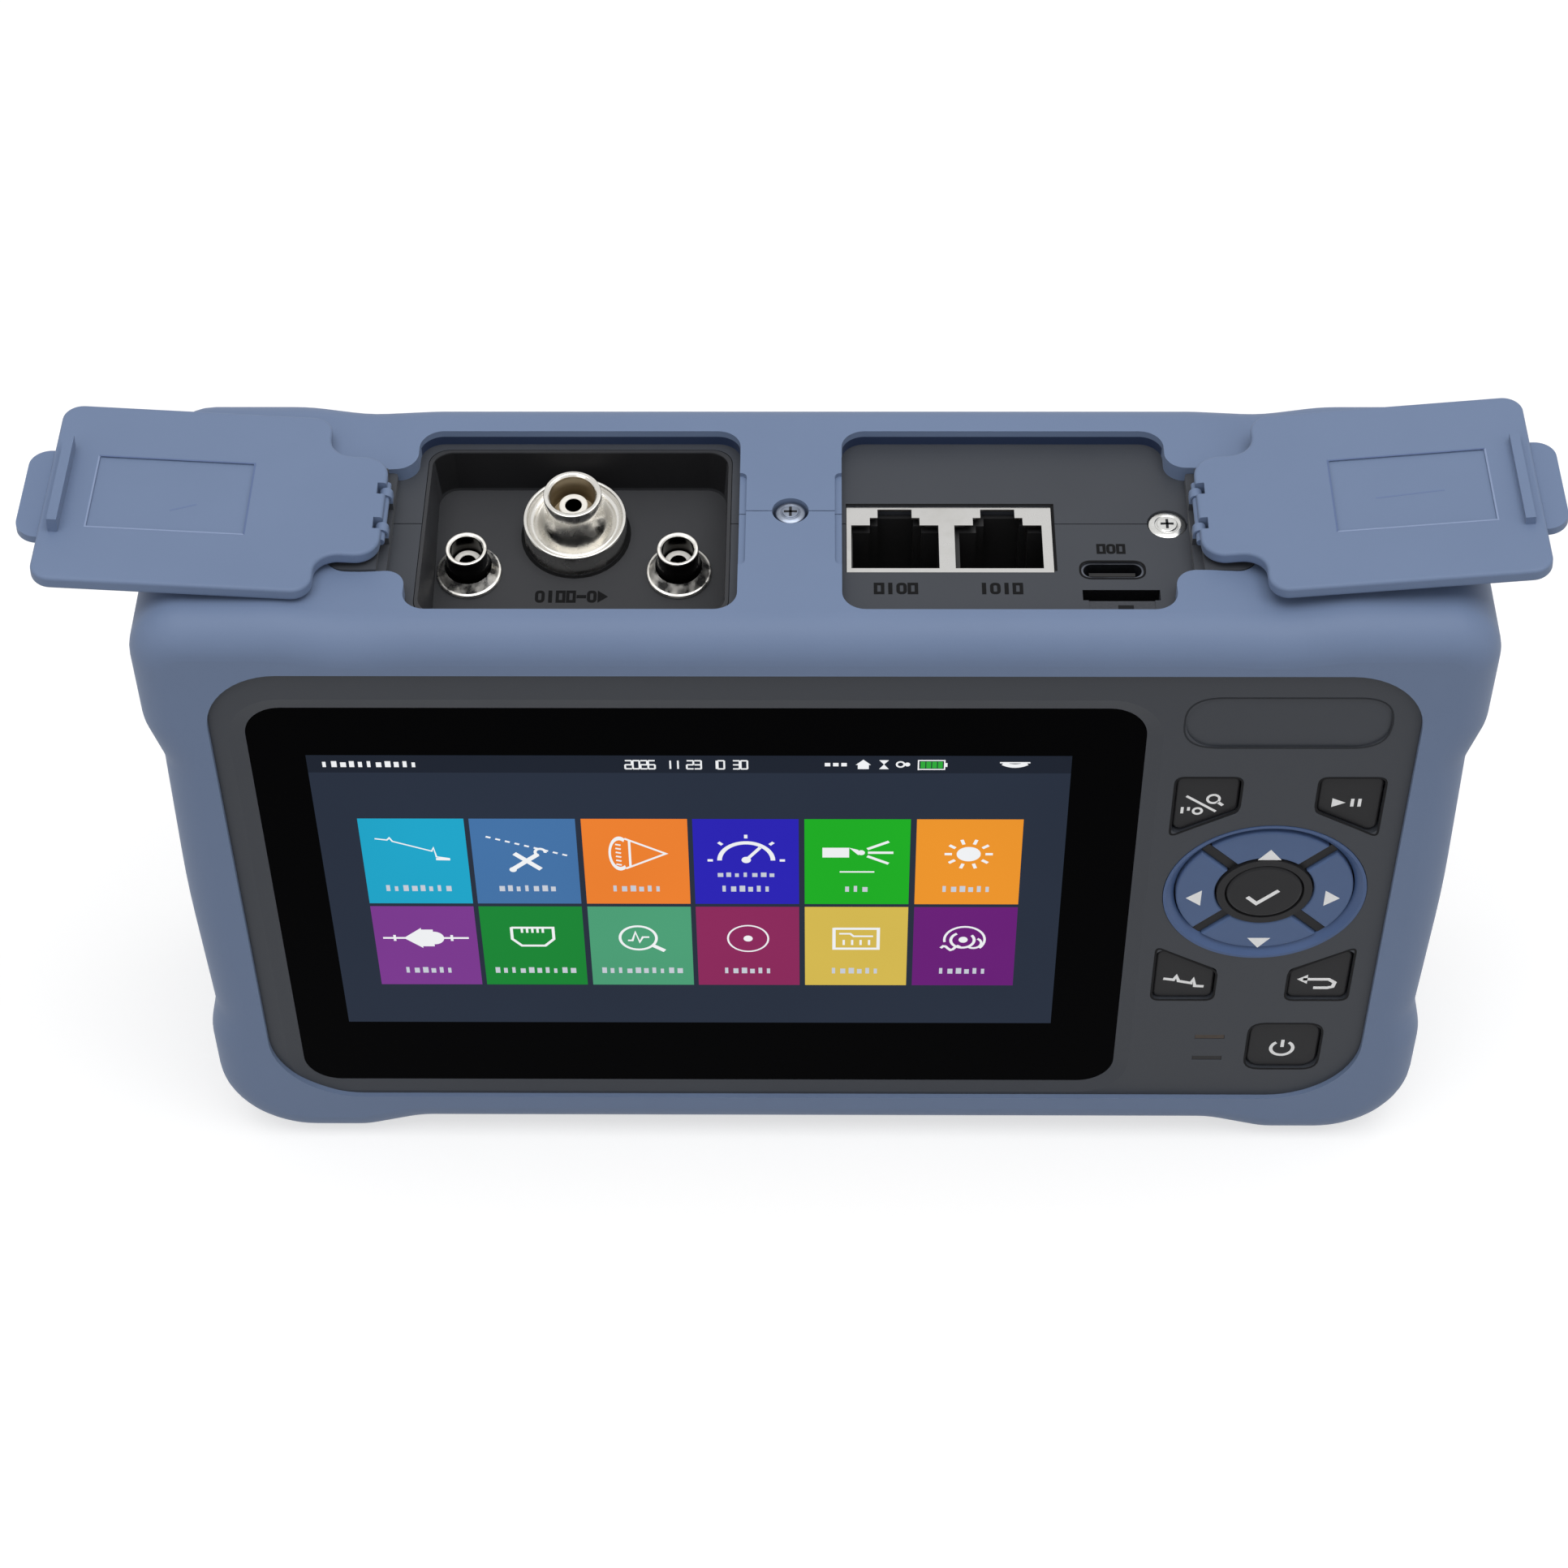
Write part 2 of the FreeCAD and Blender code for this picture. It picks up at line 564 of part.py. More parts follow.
def make_front_case():
    shell = case_block().fuse(bezel_block(BEZEL_Y, CASE_FRONT + 1.0)).cut(case_cavity())
    shell, _ = halves(shell)
    shell = shell.cut(glass_seat())
    shell = shell.cut(box(*lcd_box(0.3)))
    for _, right, upper in CORNER_KEYS:
        shell = shell.cut(prism_y(corner_key_corners(right, upper, KEY_GAP), BEZEL_Y - 1, CASE_FRONT + 5))
    shell = shell.cut(prism_y(power_key_corners(KEY_GAP), BEZEL_Y - 1, CASE_FRONT + 5))
    shell = shell.cut(rod(PAD_R + GAP, Vec(PAD_X, BEZEL_Y - 1, PAD_Z), Vec(PAD_X, CASE_FRONT + 5, PAD_Z)))
    plate = rectangle(PAD_X - PLATE_W / 2, PAD_X + PLATE_W / 2, PLATE_Z - PLATE_H / 2, PLATE_Z + PLATE_H / 2,
                      PLATE_H / 2 - 0.01)
    shell = shell.cut(prism_y(plate, BEZEL_Y - 1, BEZEL_Y + PLATE_DEPTH))
    for z in LIGHT_Z:
        shell = shell.cut(light_slot(z, GAP / 2, BEZEL_Y - 1, CASE_FRONT + 5))
    bosses = [rod(BOSS_R, Vec(x, CASE_FRONT + 1, z), Vec(x, PARTING_Y, z)) for x, z in screw_places()]
    for x in (POST_IN - BOARD_HALF, BOARD_HALF - POST_IN):
        bosses += [rod(POST_R, Vec(x, CASE_FRONT + 1, z), Vec(x, BOARD_Y, z)) for z in BOARD_POST_Z]
    for dx, z in KEY_POSTS:
        bosses.append(rod(POST_R / 2, Vec(PAD_X + dx, CASE_FRONT + 1, z), Vec(PAD_X + dx, KEY_BOARD_Y, z)))
    shell = shell.fuse(bosses)
    for x, z in screw_places():
        shell = shell.cut(rod(SCREW_R - 0.2, Vec(x, PARTING_Y - SCREW_HOLE, z), Vec(x, PARTING_Y + 1, z)))
    shell = cut_ports(shell)
    front, _ = halves(shell)
    save("front_case", front.removeSplitter())


def make_rear_case():
    shell = case_block().fuse(back_panel_block(CASE_BACK - 1.0, DEPTH / 2 - BACK_PANEL_INSET))
    inner_back = CASE_BACK - CASE_WALL
    shell = shell.cut(case_cavity())
    thick = back_panel_block(inner_back - BACK_PAD_T, inner_back + 0.5, -4.0)
    shell = shell.fuse(thick)
    _, shell = halves(shell)
    shell = shell.fuse([rod(BOSS_R, Vec(x, PARTING_Y, z), Vec(x, CASE_BACK - 1, z)) for x, z in screw_places()])
    for x, z in screw_places():
        shell = shell.cut(rod(SCREW_R + 0.15, Vec(x, PARTING_Y - 1, z), Vec(x, DEPTH, z)))
        shell = shell.cut(rod(SCREW_HEAD_R + 0.2, Vec(x, CASE_BACK - SCREW_HEAD_H, z), Vec(x, DEPTH, z)))
    shell = shell.cut(stand_pocket())
    shell = cut_ports(shell)
    _, rear = halves(shell)
    save("rear_case", rear.removeSplitter())


def cut_ports(shell):
    """Cuts the openings of the top wall that both halves of the case share."""
    top = CASE_TOP + 1.0
    shell = shell.cut(prism_z(tray_outline(-GAP), CASE_TOP - CASE_WALL - 1.0, top))
    at = port_side(1)
    shell = shell.cut(box(at(JACK_D) - GAP, at(JACK_D + JACK_W) + GAP, JACK_FRONT_Y - GAP,
                          JACK_FRONT_Y + JACK_H + GAP, CASE_TOP - CASE_WALL - 1.0, top))
    shell = shell.cut(prism_z(usb_corners(GAP), CASE_TOP - CASE_WALL - 1.0, top))
    mouth = CARD_Y - CARD_MOUTH / 2
    shell = shell.cut(box(at(CARD_D) - CARD_W / 2, at(CARD_D) + CARD_W / 2, mouth, mouth + CARD_MOUTH,
                          CASE_TOP - CASE_WALL - 1.0, top))
    long, wide, deep = CARD_SCOOP
    slope = [Vec(at(CARD_D) - long / 2, mouth + 0.1, CASE_TOP - deep), Vec(at(CARD_D) - long / 2, mouth + 0.1, top),
             Vec(at(CARD_D) - long / 2, mouth - wide, top), Vec(at(CARD_D) - long / 2, mouth - wide, CASE_TOP)]
    shell = shell.cut(Part.Face(Part.makePolygon(slope + slope[:1])).extrude(Vec(long, 0, 0)))
    for d, head, height in ((0.0, 0.0, 0.0), (PANEL_SCREW_D, PANEL_SCREW_HEAD_R, PANEL_SCREW_HEAD_H)):
        foot = Vec(at(d), PARTING_Y, CASE_TOP - CASE_WALL - 1.0)
        shell = shell.cut(rod(SCREW_R - 0.2, foot, Vec(foot.x, foot.y, top)))
        if head:
            shell = shell.cut(rod(head + 0.2, Vec(foot.x, foot.y, CASE_TOP - height), Vec(foot.x, foot.y, top)))
    seam = box(-CASE_HALF - 1, CASE_HALF + 1, PARTING_Y - SEAM / 2, PARTING_Y + SEAM / 2,
               CASE_TOP - SEAM_DEPTH, top)
    return shell.cut(seam)


# ============================== screen =======================================================

def make_screen():
    face = BEZEL_Y + GLASS_INSET
    save("touch_glass", prism_y(glass_corners(), face, face + GLASS_T - 0.02))
    save("display_module", box(*lcd_box()))


# ============================== keypad =======================================================

def cap(corners_for, inset):
    """A key cap that fills its hole, with a lip behind the bezel that keeps it in."""
    body = prism_y(corners_for(0.0), BEZEL_Y + inset, KEY_LIP_Y + KEY_LIP_T)
    lip = prism_y(corners_for(KEY_LIP), KEY_LIP_Y, KEY_LIP_Y + KEY_LIP_T)
    return body.fuse(lip).removeSplitter()


def soften(solid, radius, y):
    """Rounds the edges that lie on the face at y."""
    rim = [e for e in solid.Edges if all(abs(v.Y - y) < 1e-6 for v in e.Vertexes)]
    return solid.makeFillet(radius, rim)


def make_corner_keys():
    for name, right, upper in CORNER_KEYS:
        key = cap(lambda g, r=right, u=upper: corner_key_corners(r, u, g), KEY_INSET)
        save(name, soften(key, 0.4, BEZEL_Y + KEY_INSET))
    key = cap(power_key_corners, KEY_INSET)
    save("power_key", soften(key, 0.4, BEZEL_Y + KEY_INSET))


def ring_y(outer, inner, y0, y1):
    start = Vec(PAD_X, y0, PAD_Z)
    end = Vec(PAD_X, y1, PAD_Z)
    return rod(outer, start, end).cut(rod(inner, start - Vec(0, 1, 0), end + Vec(0, 1, 0)))


def sector(r_in, r_out, spoke, y0, y1):
    """A quarter of a ring, between two diagonal spokes."""
    wedge_reach = 3 * r_out
    near = spoke / 2 * math.sqrt(2)
    wedge = prism_y([(PAD_X, PAD_Z + near, 0), (PAD_X + wedge_reach, PAD_Z + near + wedge_reach, 0),
                     (PAD_X - wedge_reach, PAD_Z + near + wedge_reach, 0)], y0, y1)
    return ring_y(r_out, r_in, y0, y1).common(wedge)


def make_pad():
    back = CASE_FRONT + CASE_WALL
    frame_y = BEZEL_Y + 1.5
    spin = Vec(0, 1, 0)
    middle = Vec(PAD_X, 0, PAD_Z)
    profile = [Vec(PAD_R, 0, BEZEL_Y - 0.1), Vec(PAD_R, 0, frame_y), Vec(DISH_R, 0, frame_y),
               Vec(DISH_R, 0, BEZEL_Y + 1.0), Vec(PAD_R - 0.5, 0, BEZEL_Y - 0.1)]
    points = [Vec(PAD_X + p.x, p.z, PAD_Z) for p in profile]
    ring = Part.Face(Part.makePolygon(points + points[:1])).revolve(middle, spin, 360)
    save("pad_ring", ring)

    spider = ring_y(PAD_R, DISH_R, frame_y + 0.02, back)
    spider = spider.fuse(ring_y(COLLAR_R, CENTRE_KEY_R + KEY_GAP, BEZEL_Y + 0.2, back))
    reach = DISH_R + 0.5
    for turn in (45, 135):
        bar = box(PAD_X - reach, PAD_X + reach, BEZEL_Y + 0.9, back, PAD_Z - SPOKE_W / 2, PAD_Z + SPOKE_W / 2)
        bar.rotate(middle, spin, turn)
        bar = bar.cut(ring_y(COLLAR_R - 0.3, 0.01, BEZEL_Y, back + 1)).cut(
            rod(CENTRE_KEY_R + KEY_GAP, Vec(PAD_X, BEZEL_Y - 1, PAD_Z), Vec(PAD_X, back + 1, PAD_Z)))
        inside = rod(PAD_R - 0.3, Vec(PAD_X, frame_y - 5, PAD_Z), Vec(PAD_X, back + 1, PAD_Z))
        outside_ring = ring_y(PAD_R + 5, DISH_R, BEZEL_Y - 5, frame_y + 0.02)
        spider = spider.fuse(bar.common(inside).cut(outside_ring))
    save("pad_frame", spider.removeSplitter())

    front = BEZEL_Y + PAD_KEY_INSET
    lip_y = KEY_LIP_Y
    gap = SPOKE_W + 2 * KEY_GAP
    up = sector(COLLAR_R + KEY_GAP, DISH_R - KEY_GAP, gap, front, lip_y + KEY_LIP_T)
    up = soften(up, 0.4, front)
    up = up.fuse(sector(COLLAR_R - 0.3, DISH_R + KEY_LIP, gap - 1.2, lip_y, lip_y + KEY_LIP_T)).removeSplitter()
    for name, turn in (("up_key", 0), ("right_key", 90), ("down_key", 180), ("left_key", 270)):
        key = up.copy()
        key.rotate(middle, spin, turn)
        save(name, key)

    ok = rod(CENTRE_KEY_R, Vec(PAD_X, BEZEL_Y + 0.15, PAD_Z), Vec(PAD_X, lip_y + KEY_LIP_T, PAD_Z))
    ok = soften(ok, 0.5, BEZEL_Y + 0.15)
    save("centre_key", ok.fuse(rod(CENTRE_KEY_R + 0.7, Vec(PAD_X, lip_y, PAD_Z),
                                   Vec(PAD_X, lip_y + KEY_LIP_T, PAD_Z))).removeSplitter())


def light_slot(z, grow, y0, y1):
    return box(LIGHT_X - LIGHT_W / 2 - grow, LIGHT_X + LIGHT_W / 2 + grow, y0, y1,
               z - LIGHT_H / 2 - grow, z + LIGHT_H / 2 + grow)


def make_key_board():
    x0, x1, z0, z1 = KEY_BOARD
    save("key_board", box(PAD_X + x0, PAD_X + x1, KEY_BOARD_Y, KEY_BOARD_Y + BOARD_T, z0, z1))
    half = DOME_W / 2
    save("key_domes", *[box(x - half, x + half, DOME_Y, KEY_BOARD_Y, z - half, z + half)
                        for x, z in key_middles()])
    for name, z in zip(("status_light", "charge_light"), LIGHT_Z):
        save(name, light_slot(z, 0.0, BEZEL_Y + 0.05, KEY_BOARD_Y))


def key_middles():
    mid_x = (KEY_IN + KEY_OUT) / 2
    mid_z = (KEY_TOP + KEY_NEAR_LOW) / 2
    ring = (COLLAR_R + DISH_R) / 2
    corner = [(PAD_X + sx * mid_x, PAD_Z + sz * mid_z) for sx in (-1, 1) for sz in (-1, 1)]
    around = [(PAD_X, PAD_Z), (PAD_X + ring, PAD_Z), (PAD_X - ring, PAD_Z), (PAD_X, PAD_Z + ring),
              (PAD_X, PAD_Z - ring), (POWER_X, POWER_Z)]
    return corner + around


# ============================== dust flaps ===================================================

def make_flap(side, rest_tilt, rib_h):
    """Builds the flap closed in its bay, then swings it open to its rest position."""
    at = port_side(side)
    top = HEIGHT + FLAP_PROUD
    under = top - FLAP_T
    plate = prism_z(side_corners(side, flap_corners()), under, top)
    plate = round_rim(plate, 0.7, top)
    plate = round_rim(plate, 0.5, under)
    tab_x = sorted((at(TAB_END_D), at(FLAP_END_D + 5.0)))
    tab = prism_z(rectangle(*tab_x, BAY_Y - TAB_HALF, BAY_Y + TAB_HALF, 3.2), top - TAB_T, top)
    rib_x = sorted((at(FLAP_END_D + RIB_INSET), at(FLAP_END_D + RIB_INSET + RIB_W)))
    rib = box(*rib_x, BAY_Y - RIB_HALF, BAY_Y + RIB_HALF, under - rib_h, under + 0.5)
    axis = hinge_axis(side)
    bead = rod(BEAD_R, axis - Vec(0, BEAD_HALF, 0), axis + Vec(0, BEAD_HALF, 0))
    notch_x = sorted((at(HINGE_D - EAR_R - EAR_PLAY), at(HINGE_D + 1.0)))
    for y in ear_middles():
        half = EAR_T / 2 + EAR_PLAY
        plate = plate.cut(box(*notch_x, y - half, y + half, under - 1.0, top + 1.0))
    flap = plate.fuse([tab, rib, bead])
    deep, long = LABEL_FIELD
    field = side_corners(side, rectangle(
        LABEL_MID_D - long / 2, LABEL_MID_D + long / 2, BAY_Y - deep / 2, BAY_Y + deep / 2, 0.6))
    flap = flap.cut(prism_z(field, under - 0.01, under + LABEL_SINK)).removeSplitter()
    flap.rotate(axis, Vec(0, 1, 0), side * (180 - rest_tilt))
    return flap


def hinge_axis(side):
    return Vec(port_side(side)(HINGE_D), BAY_Y, HEIGHT + HINGE_LIFT)


def round_rim(solid, radius, z):
    rim = [e for e in solid.Edges if all(abs(v.Z - z) < 1e-6 for v in e.Vertexes)]
    return solid.makeFillet(radius, rim)


def ear_middles():
    return (BAY_Y - EAR_AT, BAY_Y + EAR_AT)


def make_flap_anchor(side):
    """Block in the outer end of the neck, with two ears that hold the flap's hinge rod."""
    half = NECK_HALF - GAP
    corners = both_sides_of_bay([(HINGE_D - EAR_R, half, 0.5), (NECK_OUT_D - GAP, half, NECK_R - GAP)])
    block = prism_z(side_corners(side, corners), CASE_TOP, HEIGHT - GAP)
    end = HINGE_D - TONGUE_SHORT + FLAP_PLAY
    closed_tongue = both_sides_of_bay([(FLAP_SHOULDER_D, NECK_HALF, 0), (end, NECK_HALF, 0)])
    room = prism_z(side_corners(side, closed_tongue), HEIGHT + FLAP_PROUD - FLAP_T - FLAP_PLAY, HEIGHT)
    axis = hinge_axis(side)
    block = block.cut(room)
    for y in ear_middles():
        near = Vec(axis.x, y - EAR_T / 2, axis.z)
        stem = box(axis.x - EAR_R, axis.x + EAR_R, near.y, near.y + EAR_T, CASE_TOP, axis.z)
        block = block.fuse([stem, rod(EAR_R, near, near + Vec(0, EAR_T, 0))])
    bore = rod(BEAD_R + BEAD_PLAY, axis - Vec(0, NECK_HALF, 0), axis + Vec(0, NECK_HALF, 0))
    return block.cut(bore).removeSplitter()


def make_flaps():
    save("left_dust_flap", make_flap(-1, LEFT_REST_TILT, LEFT_RIB_H))
    save("right_dust_flap", make_flap(1, RIGHT_REST_TILT, RIGHT_RIB_H))
    save("left_flap_anchor", make_flap_anchor(-1))
    save("right_flap_anchor", make_flap_anchor(1))


# ============================== optical ports ================================================

def floor_z(y):
    """Height of the tilted tray floor."""
    back = BAY_Y + BAY_HALF - TRAY_INSET
    return TRAY_BACK_Z + (y - back) * math.tan(math.radians(TRAY_TILT))


def tilted(shape, x, y):
    """Puts a shape made on the origin, upright, on the tilted floor at x, y."""
    placed = shape.copy()
    placed.rotate(Vec(0, 0, 0), Vec(1, 0, 0), TRAY_TILT)
    placed.translate(Vec(x, y, floor_z(y)))
    return placed


def above_floor(down):
    """Everything above a plane that lies this far below the tray floor."""
    slab = box(-REACH, REACH, -REACH, REACH, -down, REACH)
    return tilted(slab, port_side(-1)(FC_D), FC_Y)


def optical_places():
    at = port_side(-1)
    return {
        "otdr": (at(FC_D), FC_Y),
        "meter": (at(FC_D + SIDE_PORT_STEP), SIDE_PORT_Y),
        "finder": (at(FC_D - SIDE_PORT_STEP), SIDE_PORT_Y),
    }


def shank_radius(name):
    return FC_SHANK_R if name == "otdr" else SIDE_SHANK_R


def make_tray():
    low = floor_z(BAY_Y - BAY_HALF) - TRAY_WALL
    def tapered(inset):
        top = rounded_wire(tray_outline(inset), lambda p: Vec(p.x, p.y, CASE_TOP + 0.01))
        foot = rounded_wire(tray_outline(inset + TRAY_TAPER), lambda p: Vec(p.x, p.y, low - 4.0))
        return Part.makeLoft([top, foot], True, True)
    body = tapered(0.0).common(above_floor(TRAY_WALL))
    body = body.cut(tapered(TRAY_LIP).common(above_floor(0.0)))
    body = body.common(box(-REACH, REACH, -REACH, REACH, 0, CASE_TOP))
    flange_top = CASE_TOP - CASE_WALL - GAP / 2
    flange = prism_z(tray_outline(-TRAY_FLANGE), flange_top - TRAY_FLANGE_T, flange_top)
    body = body.fuse(flange.cut(prism_z(tray_outline(TRAY_LIP / 2), 0, HEIGHT))).removeSplitter()
    for name, (x, y) in optical_places().items():
        hole = rod(shank_radius(name) + GAP / 2, Vec(0, 0, -SHANK_LENGTH), Vec(0, 0, SHANK_LENGTH))
        body = body.cut(tilted(hole, x, y))
    save("port_tray", body)


def turned(profile):
    """Revolves an outline of (radius, height) points round Z."""
    points = [Vec(r, 0, h) for r, h in profile]
    return Part.Face(Part.makePolygon(points + points[:1])).revolve(Vec(0, 0, 0), Vec(0, 0, 1), 360)


def make_optical_ports():
    top = FC_BODY_H + FC_BARREL_H
    floor = top - SLEEVE_DOWN - 2.4
    fc = turned([
        (SLEEVE_R, -SHANK_LENGTH), (shank_radius("otdr"), -SHANK_LENGTH), (shank_radius("otdr"), 0), (FC_BODY_R, 0),
        (FC_BODY_R, FC_BODY_H - 0.3), (FC_BODY_R - 0.3, FC_BODY_H), (FC_BODY_R - 0.6, FC_BODY_H),
        (FC_BODY_R - 1.1, FC_BODY_H - 0.5), (FC_BODY_R - 1.9, FC_BODY_H - 1.1),
        (FC_BARREL_R + 0.8, FC_BODY_H - FC_DISH), (FC_BARREL_R + 0.2, FC_BODY_H - FC_DISH + 0.2),
        (FC_BARREL_R, FC_BODY_H - FC_DISH + 0.7),
        (FC_BARREL_R, top - 0.3), (FC_BARREL_R - 0.3, top), (FC_BORE_R, top), (FC_BORE_R, floor),
        (SLEEVE_R, floor)])
    key_slot = box(-0.9, 0.9, -FC_BARREL_R - 1, -FC_BORE_R + 0.5, top - 2.2, top + 1)
    fc = fc.cut(key_slot)
    side_top = SIDE_FLANGE_H + SIDE_BARREL_H
    side_floor = side_top - SLEEVE_DOWN - 1.2
    side = turned([
        (SLEEVE_R, -SHANK_LENGTH), (shank_radius("meter"), -SHANK_LENGTH), (shank_radius("meter"), 0),
        (SIDE_FLANGE_R, 0), (SIDE_FLANGE_R, SIDE_FLANGE_H - 0.2), (SIDE_FLANGE_R - 0.3, SIDE_FLANGE_H),
        (SIDE_BARREL_R + 0.4, SIDE_FLANGE_H + 0.5), (SIDE_BARREL_R, SIDE_FLANGE_H + 1.1),
        (SIDE_BARREL_R, side_top - 0.3), (SIDE_BARREL_R - 0.25, side_top), (SIDE_BORE_R, side_top),
        (SIDE_BORE_R, side_floor), (SLEEVE_R, side_floor)])
    places = optical_places()
    save("otdr_adapter", tilted(fc, *places["otdr"]))
    save("power_meter_adapter", tilted(side, *places["meter"]))
    save("fault_finder_adapter", tilted(side, *places["finder"]))
    for name, place, high in (("otdr_sleeve", "otdr", top), ("power_meter_sleeve", "meter", side_top),
                              ("fault_finder_sleeve", "finder", side_top)):
        rim = high - SLEEVE_DOWN
        sleeve = turned([(FERRULE_R, -SHANK_LENGTH), (SLEEVE_R, -SHANK_LENGTH), (SLEEVE_R, rim), (FERRULE_R, rim)])
        save(name, tilted(sleeve, *places[place]))


# ============================== electrical ports =============================================

def usb_corners(grow=0.0):
    at = port_side(1)
    half = USB_H / 2 + grow
    return rectangle(at(USB_D) - USB_W / 2 - grow, at(USB_D) + USB_W / 2 + grow, USB_Y - half, USB_Y + half,
                     half - 0.02)


def make_network_jack():
    at = port_side(1)
    face = CASE_TOP - JACK_SINK
    left, right, front, back = at(JACK_D), at(JACK_D + JACK_W), JACK_FRONT_Y, JACK_FRONT_Y + JACK_H
    foot = face - JACK_DEEP
    under = face - JACK_FACE_T
    shield = box(left, right, front, back, foot, face)
    shield = shield.cut(box(left + JACK_WALL, right - JACK_WALL, front + JACK_WALL, back - JACK_WALL, foot - 1, under))
    inset = JACK_WALL + GAP / 2
    housing = box(left + inset, right - inset, front + inset, back - inset, foot, under)
    middle = JACK_D + JACK_W / 2
    low = JACK_FRONT_Y + PLUG_EDGE
    spring_low = low + PLUG_SPRING_AT
    for d in (middle - JACK_PITCH / 2, middle + JACK_PITCH / 2):
        hole = [(-PLUG_W / 2, 0), (PLUG_W / 2, 0), (PLUG_W / 2, PLUG_H), (STEP_W / 2, PLUG_H),
                (STEP_W / 2, PLUG_H + STEP_H), (LATCH_W / 2, PLUG_H + STEP_H),
                (LATCH_W / 2, PLUG_H + STEP_H + LATCH_H), (-LATCH_W / 2, PLUG_H + STEP_H + LATCH_H),
                (-LATCH_W / 2, PLUG_H + STEP_H), (-STEP_W / 2, PLUG_H + STEP_H), (-STEP_W / 2, PLUG_H),
                (-PLUG_W / 2, PLUG_H)]
        corners = [(at(d) + u, low + v, 0) for u, v in hole]
        opening = prism_z(corners, face - PLUG_DEEP, face + 1)
        housing = housing.cut(opening)
        shield = shield.cut(opening)
        reach = PLUG_W / 2
        for start in (at(d) - reach, at(d) + reach - PLUG_SPRING):
            shield = shield.fuse(box(start, start + PLUG_SPRING, spring_low, spring_low + PLUG_SPRING_H, under, face))
    save("network_jack", shield.removeSplitter())
    save("jack_housing", housing)
    contacts = []
    for d in (middle - JACK_PITCH / 2, middle + JACK_PITCH / 2):
        for i in range(8):
            x = at(d) + (i - 3.5) * 1.02
            contacts.append(box(x - 0.2, x + 0.2, low, low + 0.6, face - PLUG_DEEP, face - 3.0))
    save("jack_contacts", *contacts)


def usb_top():
    return CASE_TOP - USB_SINK


def make_usb_port():
    top = usb_top()
    shell = prism_z(usb_corners(), top - USB_DEEP, top)
    shell = shell.cut(prism_z(usb_corners(-USB_WALL), top - USB_DEEP + 1.5, top + 1))
    at = port_side(1)
    tongue = box(at(USB_D) - 3.3, at(USB_D) + 3.3, USB_Y - 0.35, USB_Y + 0.35, top - USB_DEEP + 1.5, top - 0.8)
    save("usb_port_shell", shell)
    save("usb_port_tongue", tongue)


def make_card_slot():
    at = port_side(1)
    x0, x1 = at(CARD_D) - CARD_W / 2, at(CARD_D) + CARD_W / 2
    top = CASE_TOP - CASE_WALL - GAP / 2
    body = box(x0 - CARD_WALL, x1 + CARD_WALL, CARD_Y - CARD_H / 2 - CARD_WALL / 2, BOARD_Y, top - CARD_DEEP, top)
    slot = box(x0, x1, CARD_Y - CARD_H / 2, CARD_Y + CARD_H / 2, top - CARD_DEEP + 1, top + 1)
    save("card_socket", body.cut(slot))


# ============================== boards and modules ===========================================

def make_boards():
    at = port_side(1)
    board = box(-BOARD_HALF, BOARD_HALF, BOARD_Y, BOARD_BACK_Y, BOARD_LOW, BOARD_HIGH)
    tab = box(at(JACK_D), at(CARD_D + CARD_W / 2 + CARD_WALL), BOARD_Y, BOARD_BACK_Y, BOARD_HIGH,
              CASE_TOP - CASE_WALL - 3 * GAP)
    notch = box(at(USB_D) - USB_W / 2 - GAP, at(USB_D) + USB_W / 2 + GAP, BOARD_Y - 1, BOARD_BACK_Y + 1,
                usb_top() - USB_DEEP - GAP, HEIGHT)
    save("main_board", board.fuse(tab).removeSplitter().cut(notch))
    x0, x1, z0, z1 = BATTERY
    pad_front = CASE_BACK - CASE_WALL - BACK_PAD_T - GAP
    save("battery_pack", prism_y(rectangle(x0, x1, z0, z1, BATTERY_R), BOARD_BACK_Y + BATTERY_ROOM, pad_front))
    x0, x1, z0, z1 = OPTICS
    front = BOARD_BACK_Y + STANDOFF_H
    save("optical_module", box(x0, x1, front, pad_front - OPTICS_ROOM, z0, z1))
    stems = [rod(POST_R, Vec(x, BOARD_BACK_Y, z), Vec(x, front, z))
             for x in (x0 + STANDOFF_IN, x1 - STANDOFF_IN) for z in (z0 + STANDOFF_IN, z1 - STANDOFF_IN)]
    save("module_standoffs", *stems)


# ============================== screws =======================================================

def screw(head_r, head_h, length):
    """A pan head screw with a cross recess, made upright with its seat at z 0."""
    slope = head_h * SCREW_SLOPE
    shank_r = SCREW_R - 0.25
    solid = turned([(0, -length), (shank_r, -length), (shank_r, 0), (head_r, 0), (head_r, head_h - slope),
                    (head_r - slope, head_h), (0, head_h)])
    arm = head_r * SCREW_ARM
    half = SCREW_SLOT_W / 2
    foot = head_h - SCREW_SLOT_DEPTH
    cross = box(-arm, arm, -half, half, foot, head_h + 1).fuse(box(-half, half, -arm, arm, foot, head_h + 1))
    return solid.cut(cross)


